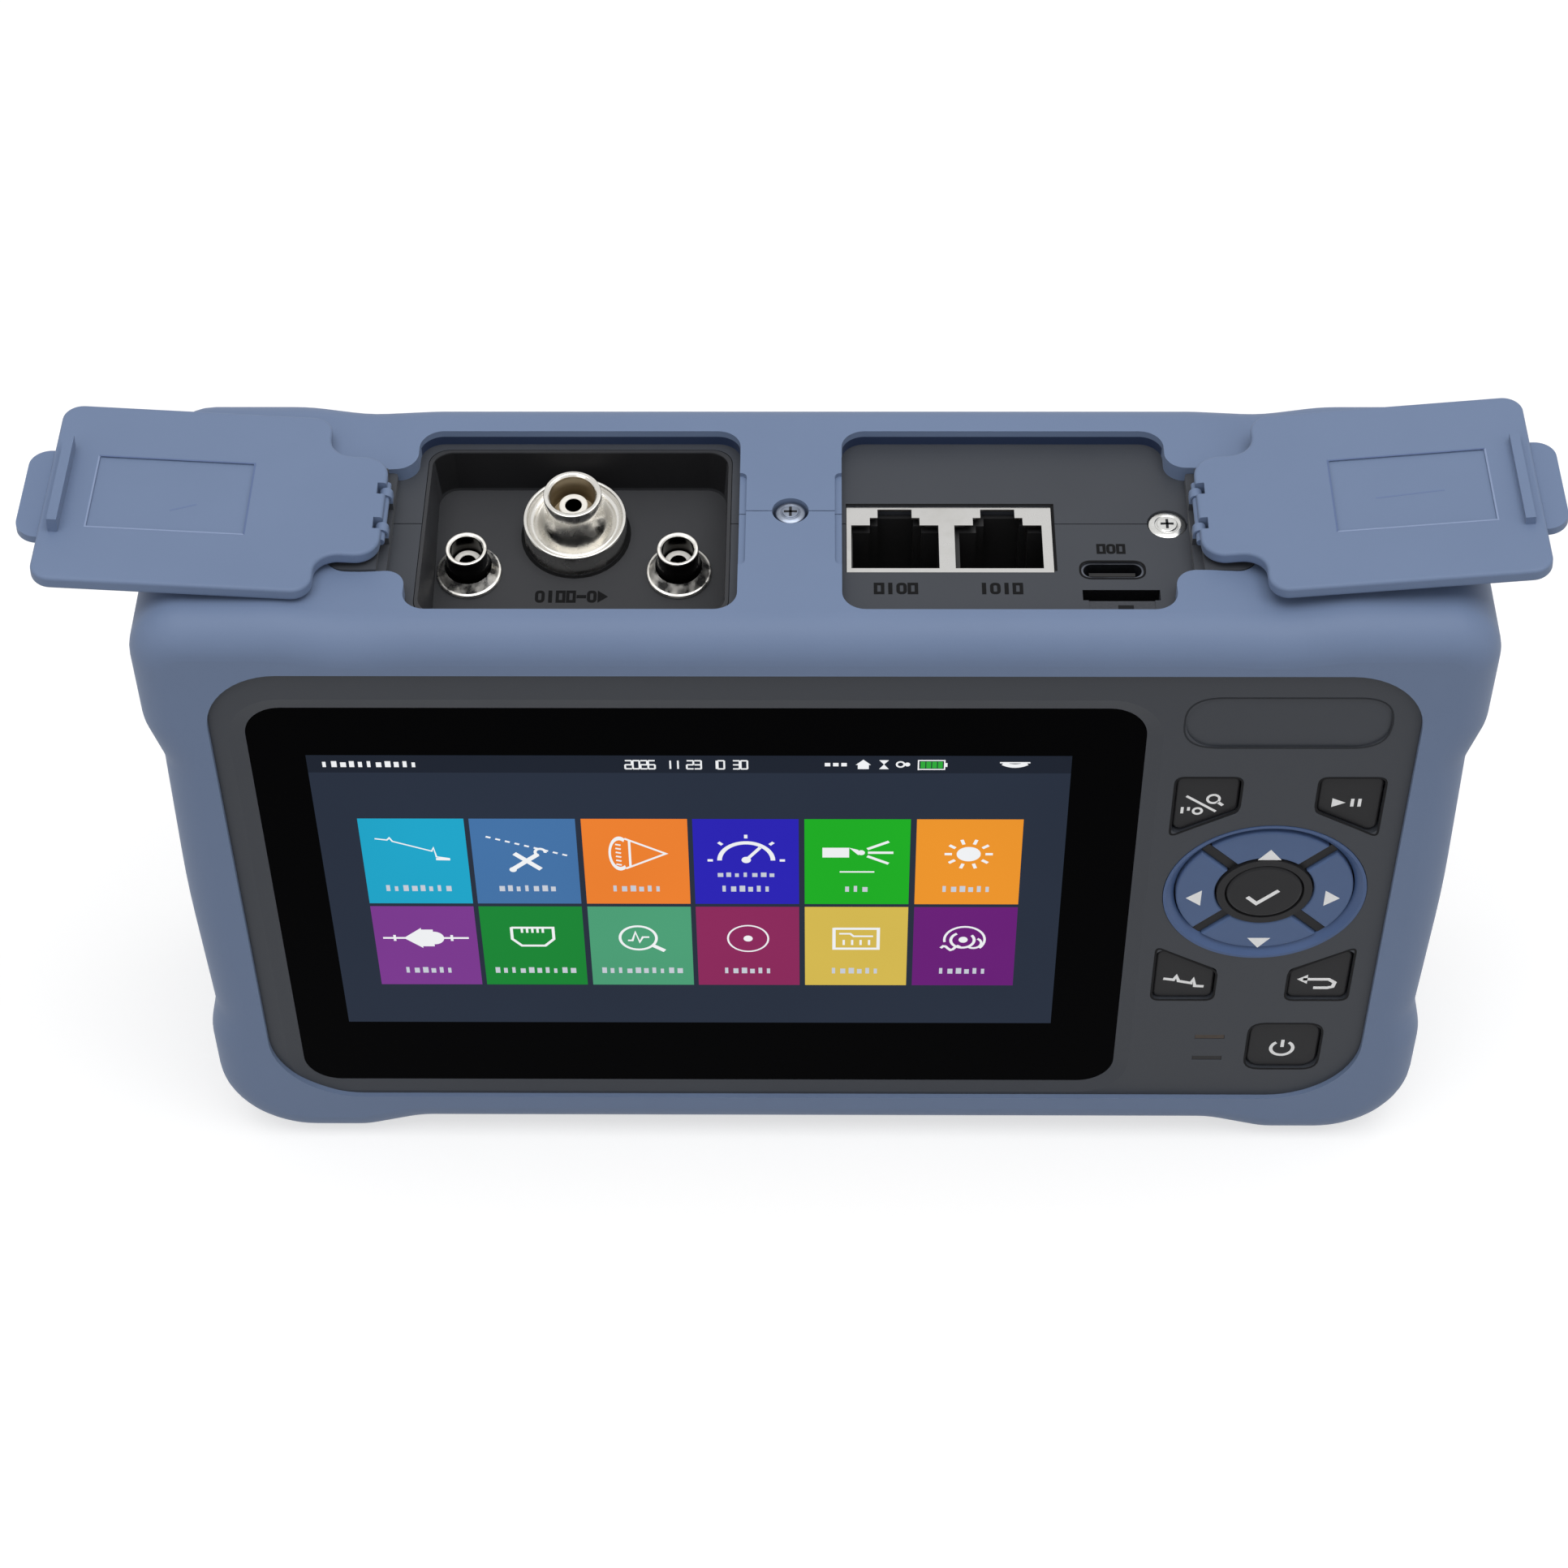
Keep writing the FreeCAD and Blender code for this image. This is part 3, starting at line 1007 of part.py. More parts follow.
def make_screws():
    at = port_side(1)
    top = screw(TOP_SCREW_HEAD_R, TOP_SCREW_HEAD_H, TOP_SCREW_LENGTH)
    top.translate(Vec(PORT_X, PARTING_Y, CASE_TOP))
    save("top_screw", top)
    panel = screw(PANEL_SCREW_HEAD_R, PANEL_SCREW_HEAD_H, PANEL_SCREW_LENGTH)
    panel.translate(Vec(at(PANEL_SCREW_D), PARTING_Y, CASE_TOP - PANEL_SCREW_HEAD_H))
    save("panel_screw", panel)
    rear = []
    for x, z in screw_places():
        one = screw(SCREW_HEAD_R, SCREW_HEAD_H, CASE_BACK - SCREW_HEAD_H - PARTING_Y + SCREW_BITE)
        one.rotate(Vec(0, 0, 0), Vec(1, 0, 0), -90)
        one.translate(Vec(x, CASE_BACK - SCREW_HEAD_H, z))
        rear.append(one)
    save("case_screws", *rear)


# ============================== stand ========================================================

def stand_corners(grow=0.0):
    return rectangle(-STAND_W / 2 - grow, STAND_W / 2 + grow, STAND_LOW - grow, STAND_TOP + grow, STAND_R + grow)


def stand_face_y():
    return DEPTH / 2 - BACK_PANEL_INSET


def stand_pocket():
    """Sunk field for the folded stand, with a finger notch under its free end."""
    face = stand_face_y()
    pocket = prism_y(stand_corners(STAND_PLAY), face - STAND_T - STAND_PLAY, DEPTH)
    notch = prism_y(rectangle(-FINGER_W / 2, FINGER_W / 2, STAND_LOW - 8.0, STAND_LOW + 6.0, 4.0),
                    face - STAND_T - STAND_PLAY, DEPTH)
    axis = stand_axis()
    turn_room = rod(STAND_T / 2 + STAND_TOP - STAND_PIN_Z + 0.2,
                    axis - Vec(STAND_W / 2 + STAND_PLAY, 0, 0), axis + Vec(STAND_W / 2 + STAND_PLAY, 0, 0))
    reach = STAND_W / 2 + STAND_PLAY + STAND_PIN_GRIP
    pin_hole = rod(STAND_PIN_R + 0.02, axis - Vec(reach, 0, 0), axis + Vec(reach, 0, 0))
    return pocket.fuse([notch, turn_room, pin_hole])


def stand_axis():
    return Vec(0, stand_face_y() - STAND_T / 2, STAND_PIN_Z)


def make_stand():
    face = stand_face_y()
    plate = prism_y(stand_corners(), face - STAND_T, face)
    window = prism_y(rectangle(-STAND_W / 2 + 13, STAND_W / 2 - 13, STAND_LOW + 13, STAND_TOP - 16, 4.0),
                     face - STAND_T - 1, face + 1)
    plate = plate.cut(window)
    axis = stand_axis()
    bore = rod(STAND_PIN_R + 0.05, axis - Vec(REACH, 0, 0), axis + Vec(REACH, 0, 0))
    save("stand", plate.cut(bore))
    reach = STAND_W / 2 + STAND_PLAY + STAND_PIN_GRIP - 0.1
    save("stand_pin", rod(STAND_PIN_R, axis - Vec(reach, 0, 0), axis + Vec(reach, 0, 0)))


def main():
    os.makedirs("parts", exist_ok=True)
    make_jacket()
    make_front_case()
    make_rear_case()
    make_screen()
    make_corner_keys()
    make_pad()
    make_key_board()
    make_flaps()
    make_tray()
    make_optical_ports()
    make_network_jack()
    make_usb_port()
    make_card_slot()
    make_boards()
    make_screws()
    make_stand()


main()
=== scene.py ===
import json
import math
import bmesh
import bpy
import numpy as np
from mathutils import Matrix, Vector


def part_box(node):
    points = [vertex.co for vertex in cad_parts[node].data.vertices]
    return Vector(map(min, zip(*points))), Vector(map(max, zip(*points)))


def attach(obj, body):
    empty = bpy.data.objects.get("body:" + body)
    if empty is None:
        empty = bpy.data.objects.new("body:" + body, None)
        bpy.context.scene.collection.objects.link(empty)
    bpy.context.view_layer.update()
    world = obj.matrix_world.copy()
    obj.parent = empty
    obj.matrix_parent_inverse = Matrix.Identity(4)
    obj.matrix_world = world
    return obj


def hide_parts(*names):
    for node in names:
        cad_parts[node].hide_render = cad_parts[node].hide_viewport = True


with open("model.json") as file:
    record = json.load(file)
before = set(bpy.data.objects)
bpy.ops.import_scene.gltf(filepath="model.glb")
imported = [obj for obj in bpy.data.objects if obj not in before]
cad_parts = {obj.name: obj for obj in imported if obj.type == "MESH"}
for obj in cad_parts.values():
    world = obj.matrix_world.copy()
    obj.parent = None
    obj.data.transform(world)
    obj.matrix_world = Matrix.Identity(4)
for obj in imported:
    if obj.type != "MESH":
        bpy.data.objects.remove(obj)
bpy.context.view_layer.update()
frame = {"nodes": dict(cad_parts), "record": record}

mm = 0.001

# The camera: where it stands, which way it looks and how long its lens is.
camera = {"lens": 78.29, "place": (1.20, -358.10, 454.10), "pitch": 47.811, "yaw": -0.9502, "roll": -0.6282}


def setCamera(look):
    # The view direction from pitch and yaw, then a roll about it, as the three columns of a turn.
    pitch, yaw, roll = (math.radians(look[k]) for k in ("pitch", "yaw", "roll"))
    forward = np.array([math.sin(yaw) * math.cos(pitch), math.cos(yaw) * math.cos(pitch), -math.sin(pitch)])
    right = np.array([math.cos(yaw), -math.sin(yaw), 0.0])
    up = np.cross(right, forward)
    across = right * math.cos(roll) + up * math.sin(roll)
    upright = up * math.cos(roll) - right * math.sin(roll)
    turn = Matrix(np.column_stack([across, upright, -forward]).tolist()).to_4x4()
    lens = bpy.data.cameras.new("camera")
    lens.lens = look["lens"]
    lens.sensor_width = 36.0
    lens.clip_start = 0.01
    seat = bpy.data.objects.new("camera", lens)
    bpy.context.scene.collection.objects.link(seat)
    seat.matrix_world = Matrix.Translation([v * mm for v in look["place"]]) @ turn
    bpy.context.scene.camera = seat


setCamera(camera)
print("camera set")


def linear(hexCode, alpha=1.0):
    # sRGB to linear: c / 12.92 for dark values, ((c + 0.055) / 1.055) ** 2.4 above them
    parts = [int(hexCode[i:i + 2], 16) / 255 for i in (1, 3, 5)]
    return tuple(c / 12.92 if c <= 0.04045 else ((c + 0.055) / 1.055) ** 2.4 for c in parts) + (alpha,)


def addNode(tree, kind, settings=None, sockets=None):
    # a socket takes a value, or a pair of a node and the name of its output
    made = tree.nodes.new("ShaderNode" + kind)
    for name, value in (settings or {}).items():
        setattr(made, name, value)
    for name, value in (sockets or {}).items():
        if isinstance(value, tuple) and hasattr(value[0], "outputs"):
            tree.links.new(value[0].outputs[value[1]], made.inputs[name])
        else:
            made.inputs[name].default_value = value
    return made


# The colour sockets of a mix node: its first and second colour, and the mixed one that it puts out.
firstColour, secondColour, mixedColour = 6, 7, 2


def roughRange(look):
    # the least and the most roughness of a finish: half its spread below and above its middle value
    return {"To Min": look["rough"] - look["spread"] / 2, "To Max": look["rough"] + look["spread"] / 2}


def emptyMaterial(name):
    material = bpy.data.materials.new(name)
    material.use_nodes = True
    material.node_tree.nodes.clear()
    return material, material.node_tree


def newFinish(name, fill, look):
    # fill works out the shader: it adds nodes with add, and place is where on the object they are
    material, tree = emptyMaterial(name)

    def add(kind, settings=None, sockets=None):
        return addNode(tree, kind, settings, sockets)

    shader = fill(add, (add("TexCoord"), "Object"), look)
    add("OutputMaterial", {}, {"Surface": (shader, "BSDF")})
    return material


def looks(keys, rows):
    # a table of finishes, whose rows hold the values of the keys in turn
    return {name: dict(zip(keys.split(), row)) for name, row in rows.items()}


# Moulded finishes. Colours are sRGB, grain and cloud are in millimetres, depth is the grain's height.
mouldedLooks = looks("colour shade rough spread specular grain depth cloud sheen well", {
    # thermoplastic rubber from a spark-eroded mould: a soft even sheen with no clear reflections
    # well is a box, as its middle and half sizes, where the tone is deeper: painted shade on the back wall of the
    # port bays
    "jacketRubber": ("#6f809e", "#677896", 0.56, 0.08, 0.30, 0.55, 0.010, 24.0, 0.04,
                     ("#22304d", (-3.4, 16.9, 114.6), (55.0, 1.4, 0.8))),
    # the hinge blocks: blue ears that show in the flaps, on a foot as dark as the case
    "hingePlastic": ("#6f809e", "#677896", 0.56, 0.08, 0.30, 0.55, 0.010, 24.0, 0.04,
                     ("#3c3f45", (0.0, 0.0, 114.9), (90.0, 30.0, 1.7))),
    # glass-filled nylon and polycarbonate, dark grey: a fine matt texture with a faint satin shine
    "casePlastic": ("#42454b", "#3c3f45", 0.47, 0.08, 0.20, 0.45, 0.010, 16.0, 0.0),
    # the tray's well is painted shade: its back wall drawn near black
    "trayPlastic": ("#38393c", "#323336", 0.50, 0.08, 0.22, 0.45, 0.012, 12.0, 0.0,
                    ("#18181a", (-34.4, 16.3, 110.4), (30.0, 1.9, 3.3))),
    # silicone rubber keys: nearly black, slightly glossier where fingers polish them
    "keyRubber": ("#29292b", "#242426", 0.42, 0.10, 0.12, 0.40, 0.006, 7.0, 0.03),
    "padRubber": ("#566b92", "#4f648a", 0.45, 0.08, 0.20, 0.40, 0.006, 9.0, 0.03),
    "padPlastic": ("#4d638c", "#465c85", 0.36, 0.06, 0.24, 0.40, 0.004, 9.0, 0.0),
    # clear polycarbonate light pipes, unlit, and the black liquid crystal polymer of the sockets
    "lightPipe": ("#1d1d1f", "#161617", 0.30, 0.05, 0.20, 0.60, 0.002, 5.0, 0.0),
    "amberPipe": ("#54463a", "#2e2823", 0.30, 0.05, 0.20, 0.60, 0.002, 0.8, 0.0),
    "insulator": ("#1b1b1c", "#161617", 0.45, 0.06, 0.40, 0.40, 0.006, 6.0, 0.0),
    # zirconia, ground and polished: a warm white that gleams
    "zirconia": ("#fbf9f3", "#f3f0e8", 0.18, 0.04, 0.60, 0.50, 0.001, 3.0, 0.0),
    # glass epoxy board under green solder mask, and the shrink wrap of the battery
    "board": ("#1f5a3a", "#1a4e32", 0.35, 0.08, 0.45, 0.80, 0.008, 9.0, 0.0),
    "batteryWrap": ("#2f5f93", "#295586", 0.30, 0.08, 0.45, 2.50, 0.020, 14.0, 0.0),
})

# Metals. Colour is what they reflect head on; line is the pitch of the tool or rolling marks.
metalLooks = looks("colour stain rough spread line depth", {
    # brass turned and plated with nickel: bright, faintly warm, with fine turning marks
    "nickel": ("#d3d0ca", "#a9a39a", 0.13, 0.07, 0.22, 0.0015),
    # cold rolled brass plated with tin: a soft, slightly yellow grey
    "shieldTin": ("#c9c8c6", "#bfbebb", 0.30, 0.10, 0.35, 0.0020),
    "moduleTin": ("#cfcfcc", "#bdbdb8", 0.34, 0.10, 0.60, 0.0020),
    "contactGold": ("#e0b65c", "#c79c48", 0.22, 0.06, 0.20, 0.0010),
    # steel screws: zinc plated and bright, or blackened so that they nearly vanish
    "screwSteel": ("#d8d8d6", "#b4b3ae", 0.24, 0.10, 0.25, 0.0020),
    # zinc gone dull under a finger's grease
    "dullSteel": ("#8f97a6", "#666d7a", 0.38, 0.10, 0.25, 0.0020),
    "blackSteel": ("#6b6f78", "#53565e", 0.34, 0.08, 0.25, 0.0020),
})


def mouldedFinish(add, place, look):
    # grain is a noise whose cells are one grain wide, used as height; cloud mixes two close colours
    # and shifts the roughness a little, as handling does
    grain = add("TexNoise", {}, {"Vector": place, "Scale": 1 / (look["grain"] * mm),
                                 "Detail": 2.0, "Roughness": 0.6})
    cloud = add("TexNoise", {}, {"Vector": place, "Scale": 1 / (look["cloud"] * mm),
                                 "Detail": 4.0, "Roughness": 0.55})
    tint = add("Mix", {"data_type": "RGBA"}, {
        "Factor": (cloud, "Fac"), firstColour: linear(look["shade"]),
        secondColour: linear(look["colour"])})
    if "well" in look:
        # inside the box on all three axes at once, the deeper tone takes over: painted shade on the back walls of the
        # bays and the tray, the hinge blocks' own dark foot
        deep, middle, half = look["well"]
        parts = add("SeparateXYZ", {}, {"Vector": place})
        inside = [add("Math", {"operation": "COMPARE"}, {0: (parts, axis), 1: m * mm, 2: h * mm})
                  for axis, m, h in zip("XYZ", middle, half)]
        both = add("Math", {"operation": "MULTIPLY"}, {0: (inside[0], "Value"), 1: (inside[1], "Value")})
        share = add("Math", {"operation": "MULTIPLY"}, {0: (both, "Value"), 1: (inside[2], "Value")})
        tint = add("Mix", {"data_type": "RGBA"}, {
            "Factor": (share, "Value"), firstColour: (tint, mixedColour),
            secondColour: linear(deep)})
    worn = add("MapRange", {}, {"Value": (cloud, "Fac"), "From Min": 0.3, "From Max": 0.7,
                                **roughRange(look)})
    bump = add("Bump", {}, {"Height": (grain, "Fac"), "Distance": look["depth"] * mm, "Strength": 0.8})
    return add("BsdfPrincipled", {}, {
        "Roughness": (worn, "Result"), "Normal": (bump, "Normal"), "IOR": 1.5, "Base Color": (tint, mixedColour),
        "Specular IOR Level": look["specular"], "Sheen Weight": look["sheen"], "Sheen Roughness": 0.5})


# How wide the stains on the metals are, in millimetres.
stainWide = 4.0


def metalFinish(add, place, look):
    # a stain noise mixes the clean and the dull colour; a stretched noise gives the tool marks
    stain = add("TexNoise", {}, {"Vector": place, "Scale": 1 / (stainWide * mm), "Detail": 5.0,
                                 "Roughness": 0.6})
    spread = add("MapRange", {}, {"Value": (stain, "Fac"), "From Min": 0.45, "From Max": 0.75})
    tint = add("Mix", {"data_type": "RGBA"}, {
        "Factor": (spread, "Result"), firstColour: linear(look["colour"]),
        secondColour: linear(look["stain"])})
    along = add("Mapping", {}, {"Vector": place, "Scale": (0.12, 0.12, 1.0)})
    marks = add("TexNoise", {}, {"Vector": (along, "Vector"), "Scale": 1 / (look["line"] * mm),
                                 "Detail": 1.0})
    bump = add("Bump", {}, {"Height": (marks, "Fac"), "Distance": look["depth"] * mm, "Strength": 0.7})
    worn = add("MapRange", {}, {"Value": (stain, "Fac"), "From Min": 0.3, "From Max": 0.7,
                                **roughRange(look)})
    return add("BsdfPrincipled", {}, {"Metallic": 1.0, "Roughness": (worn, "Result"),
                                      "Normal": (bump, "Normal"), "Base Color": (tint, mixedColour)})


# Chemically toughened cover glass, black from behind and coated against glare: deep black, a faint gloss.
glassLook = {"colour": "#010102", "rough": 0.06, "smudged": 0.06, "smudge": 18.0, "specular": 0.01}


def coverGlass(add, place, look):
    # smudges are a soft noise that only lifts the roughness a little
    smudge = add("TexNoise", {}, {"Vector": place, "Scale": 1 / (look["smudge"] * mm),
                                  "Detail": 3.0})
    dull = add("MapRange", {}, {"Value": (smudge, "Fac"), "From Min": 0.45, "From Max": 0.8,
                                "To Min": look["rough"], "To Max": look["rough"] + look["smudged"]})
    return add("BsdfPrincipled", {}, {
        "Base Color": linear(look["colour"]), "Roughness": (dull, "Result"), "IOR": 1.5,
        "Specular IOR Level": look["specular"]})


def printFinish(add, place, look):
    # the colour of each mark comes with the mesh; a noise a third of a millimetre wide breaks up the gloss
    ink = add("Attribute", {"attribute_name": "ink"})
    screenMesh = add("TexNoise", {}, {"Vector": place, "Scale": 1 / (look["grain"] * mm),
                                      "Detail": 2.0})
    worn = add("MapRange", {}, {"Value": (screenMesh, "Fac"), "From Min": 0.3, "From Max": 0.7,
                                **roughRange(look)})
    thin = add("MapRange", {}, {"Value": (screenMesh, "Fac"), "From Min": 0.3, "From Max": 0.75,
                                "To Min": 0.0, "To Max": look["thin"]})
    tint = add("Mix", {"data_type": "RGBA"}, {
        "Factor": (thin, "Result"), firstColour: (ink, "Color"),
        secondColour: linear(look["under"])})
    return add("BsdfPrincipled", {}, {"Roughness": (worn, "Result"), "IOR": 1.5,
                                      "Specular IOR Level": look["specular"],
                                      "Base Color": (tint, mixedColour)})


# Pad printed epoxy ink, opaque and slightly soft, on the keys; on the panels, dark marks drawn on the plastic, most
# of them painted shade in gaps, slots, recesses and round a port.
printLooks = looks("under grain rough spread thin specular", {
    "printInk": ("#6a6b6d", 0.33, 0.45, 0.16, 0.03, 0.30),
    "panelPaint": ("#2a2b2e", 0.33, 0.60, 0.16, 0.20, 0.10),
    "creaseRubber": ("#6a7b99", 0.33, 0.56, 0.16, 0.15, 0.30),
})

# A lit liquid crystal display behind glass: it shines in its own colours, a little weaker in soft patches.
litLook = {"unlit": "#050506", "strength": 1.0, "uneven": 0.06, "patch": 28.0, "rough": 0.08, "specular": 0.01}


def litFinish(add, place, look):
    ink = add("Attribute", {"attribute_name": "ink"})
    patch = add("TexNoise", {}, {"Vector": place, "Scale": 1 / (look["patch"] * mm),
                                 "Detail": 1.0})
    level = add("MapRange", {}, {"Value": (patch, "Fac"), "From Min": 0.3, "From Max": 0.7,
                                 "To Min": look["strength"] - look["uneven"], "To Max": look["strength"]})
    return add("BsdfPrincipled", {}, {
        "Base Color": linear(look["unlit"]), "Roughness": look["rough"], "IOR": 1.5,
        "Specular IOR Level": look["specular"], "Emission Color": (ink, "Color"),
        "Emission Strength": (level, "Result")})


# Brass turned on a lathe and nickel plated, for the ports: tool marks run round the axis, so they follow
# the piece's own map, whose second value is the way along the profile in millimetres. The marks are
# 0.12 mm apart, coarser than real ones, so that they show.
turnedLooks = looks("colour stain rough spread polish mark depth band most", {
    # the dull tone's broad bands stand partly for the metal's own tone and partly for painted reflection rings
    "turnedNickel": ("#dedcd7", "#a8a39b", 0.23, 0.20, 3.2, 0.12, 0.0008, 4.0, 0.35),
    # the small ports are barrel finished: softer, with bright and dull patches
    "tumbledNickel": ("#efede8", "#b9b4ab", 0.40, 0.44, 1.9, 0.12, 0.0008, 1.6, 0.5),
    "boreNickel": ("#a3967f", "#776b57", 0.38, 0.08, 3.0, 0.12, 0.004, 1.2, 0.6),
    # the same metal painted near black inside: painted shade deep in the small bores and in the ceramic sleeves'
    # bores
    "paintedBoreShade": ("#2b2a28", "#171615", 0.16, 0.08, 3.0, 0.12, 0.004, 0.9, 0.9),
})


def turnedFinish(add, place, look):
    # broad bands mix the bright and the dull colour along the profile, partly the metal's own uneven tone and
    # partly painted reflection rings, and fine marks are its height, both on the piece's own map; patches of more
    # and less polish lie over it on Object coordinates
    own = add("UVMap", {"uv_map": "turning"})
    along = add("Mapping", {}, {"Vector": (own, "UV"), "Scale": (0.6, 1.0, 1.0)})
    bands = add("TexNoise", {}, {"Vector": (along, "Vector"), "Scale": 1 / look["band"], "Detail": 3.0})
    share = add("MapRange", {}, {"Value": (bands, "Fac"), "From Min": 0.42, "From Max": 0.72,
                                 "To Min": 0.0, "To Max": look["most"]})
    tint = add("Mix", {"data_type": "RGBA"}, {
        "Factor": (share, "Result"), firstColour: linear(look["colour"]),
        secondColour: linear(look["stain"])})
    marks = add("TexNoise", {}, {"Vector": (along, "Vector"), "Scale": 1 / look["mark"], "Detail": 1.0})
    bump = add("Bump", {}, {"Height": (marks, "Fac"), "Distance": look["depth"] * mm, "Strength": 0.6})
    polish = add("TexNoise", {}, {"Vector": place, "Scale": 1 / (look["polish"] * mm)})
    worn = add("MapRange", {}, {"Value": (polish, "Fac"), "From Min": 0.38, "From Max": 0.62,
                                **roughRange(look)})
    return add("BsdfPrincipled", {}, {"Metallic": 1.0, "Roughness": (worn, "Result"),
                                      "Normal": (bump, "Normal"), "Base Color": (tint, mixedColour)})


fills = ((mouldedFinish, mouldedLooks), (metalFinish, metalLooks), (turnedFinish, turnedLooks),
         (printFinish, printLooks), (coverGlass, {"coverGlass": glassLook}), (litFinish, {"litScreen": litLook}))
finishes = {name: newFinish(name, fill, look) for fill, table in fills for name, look in table.items()}
print("finishes made")

# Which finish each node of the frame takes.
nodeFinish = {
    "jacketRubber": ("front_jacket", "rear_jacket", "left_dust_flap", "right_dust_flap"),
    "casePlastic": ("front_case", "rear_case", "stand"),
    "hingePlastic": ("left_flap_anchor", "right_flap_anchor"),
    "trayPlastic": ("port_tray",),
    "keyRubber": ("zoom_key", "start_key", "trace_key", "back_key", "power_key", "centre_key", "pad_frame"),
    "padRubber": ("up_key", "down_key", "left_key", "right_key"),
    "padPlastic": ("pad_ring",),
    "lightPipe": ("charge_light",),
    "amberPipe": ("status_light",),
    "insulator": ("usb_port_tongue", "card_socket", "jack_housing"),
    "zirconia": ("otdr_sleeve", "power_meter_sleeve", "fault_finder_sleeve"),
    "nickel": ("otdr_adapter", "power_meter_adapter", "fault_finder_adapter"),
    "shieldTin": ("network_jack",),
    "moduleTin": ("optical_module", "module_standoffs", "display_module", "key_domes"),
    "contactGold": ("jack_contacts",),
    "screwSteel": ("panel_screw", "stand_pin"),
    "dullSteel": ("top_screw",),
    "blackSteel": ("case_screws", "usb_port_shell"),
    "coverGlass": ("touch_glass",),
    "board": ("main_board", "key_board"),
    "batteryWrap": ("battery_pack",),
}

for finish, names in nodeFinish.items():
    for name in names:
        node = frame["nodes"][name]
        for place in node.material_slots:
            place.material = finishes[finish]
print("frame nodes finished")


# Flat shapes, as pairs of edges in millimetres on a plane: u to the right, v up.
def line(points, width, closed=False):
    # a stroke: each edge lies half the width from the path, along the mean of the neighbouring normals
    path = np.asarray(points, float)
    along = np.roll(path, -1, axis=0) - path if closed else np.diff(path, axis=0)
    along /= np.linalg.norm(along, axis=1)[:, None]
    side = np.stack([-along[:, 1], along[:, 0]], axis=1)
    before, after = np.roll(side, 1, axis=0), side
    if not closed:
        before, after = np.vstack([side[:1], side]), np.vstack([side, side[-1:]])
    mean = before + after
    mean /= np.linalg.norm(mean, axis=1)[:, None]
    reach = 1 / np.clip((mean * after).sum(axis=1), 0.5, 1.0)
    offset = mean * (reach * width / 2)[:, None]
    return path + offset, path - offset, closed


def outline(profile, width, steps=6):
    # a closed stroke round a profile whose corners are rounded
    return line(rounded(profile, steps), width, True)


def arc(centre, radius, start, end, width, squeeze=1.0):
    # part of a ring between two angles in degrees; squeeze flattens it along v
    full = abs(end - start) >= 360
    angle = np.radians(np.linspace(start, end, 40 if full else 24, endpoint=not full))
    unit = np.stack([np.cos(angle), np.sin(angle) * squeeze], axis=1)
    return np.array(centre) + (radius + width / 2) * unit, np.array(centre) + (radius - width / 2) * unit, full


def disc(centre, radius, squeeze=1.0):
    # chords from one side to the other, half as long as the circle is high there
    angle = np.linspace(0.12, math.pi - 0.12, 22)
    along, high = -radius * np.cos(angle), radius * np.sin(angle) * squeeze
    return (np.stack([centre[0] + along, centre[1] + high], axis=1),
            np.stack([centre[0] + along, centre[1] - high], axis=1), False)


def block(u0, v0, u1, v1):
    return np.array([(u0, v1), (u1, v1)], float), np.array([(u0, v0), (u1, v0)], float), False


def triangle(tip, a, b):
    near = np.array(tip) + 0.004 * (np.array(b) - np.array(tip))
    return np.array([tip, a], float), np.array([near, b], float), False


def blocks(u0, v0, count, width, height, gap):
    # a row of short bars
    return [block(u0 + k * (width + gap), v0, u0 + k * (width + gap) + width, v0 + height) for k in range(count)]


def label(u, v, count, tall):
    # where a label stands: a row of small uneven bars that say nothing
    shapes = []
    for k in range(count):
        near, wide = u + (k - count / 2) * 1.3 + 0.2, (0.72, 0.5, 0.84, 0.58, 0.78)[(k * 3 + count) % 5]
        high = tall * (1.0, 0.8, 1.0, 0.88)[(k + count) % 4]
        shapes.append(block(near, v, near + wide, v + high))
    return shapes


def rounded(profile, steps=6):
    # every corner becomes a curve (1-t)^2 a + 2 t (1-t) corner + t^2 b, where a and b lie on the two
    # sides at the corner's radius, or at under half of a side that is shorter
    corner = np.array([p[:2] for p in profile], float)
    radius = np.array([p[2] for p in profile], float)[:, None]
    before, after = np.roll(corner, 1, axis=0) - corner, np.roll(corner, -1, axis=0) - corner
    longBefore, longAfter = (np.linalg.norm(s, axis=1)[:, None] for s in (before, after))
    start = corner + before / longBefore * np.minimum(radius, 0.45 * longBefore)
    end = corner + after / longAfter * np.minimum(radius, 0.45 * longAfter)
    t = np.linspace(0, 1, steps)[None, :, None]
    curve = (1 - t) ** 2 * start[:, None] + 2 * t * (1 - t) * corner[:, None] + t ** 2 * end[:, None]
    keep = np.repeat((radius[:, 0] > 0)[:, None], steps, axis=1)
    keep[:, 0] = True
    return curve[keep]


def moved(shapes, u, v, scale=1.0):
    return [(left * scale + (u, v), right * scale + (u, v), closed) for left, right, closed in shapes]


def corners(node):
    # the lowest and the highest corner of a node of the frame, in millimetres
    return [np.array(v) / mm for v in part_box(node)]


def plane(origin, u, v):
    # a drawing plane: its origin in millimetres, and the directions of u, v and outwards
    u, v = np.array(u, float), np.array(v, float)
    return np.array(origin, float), u, v, np.cross(u, v)


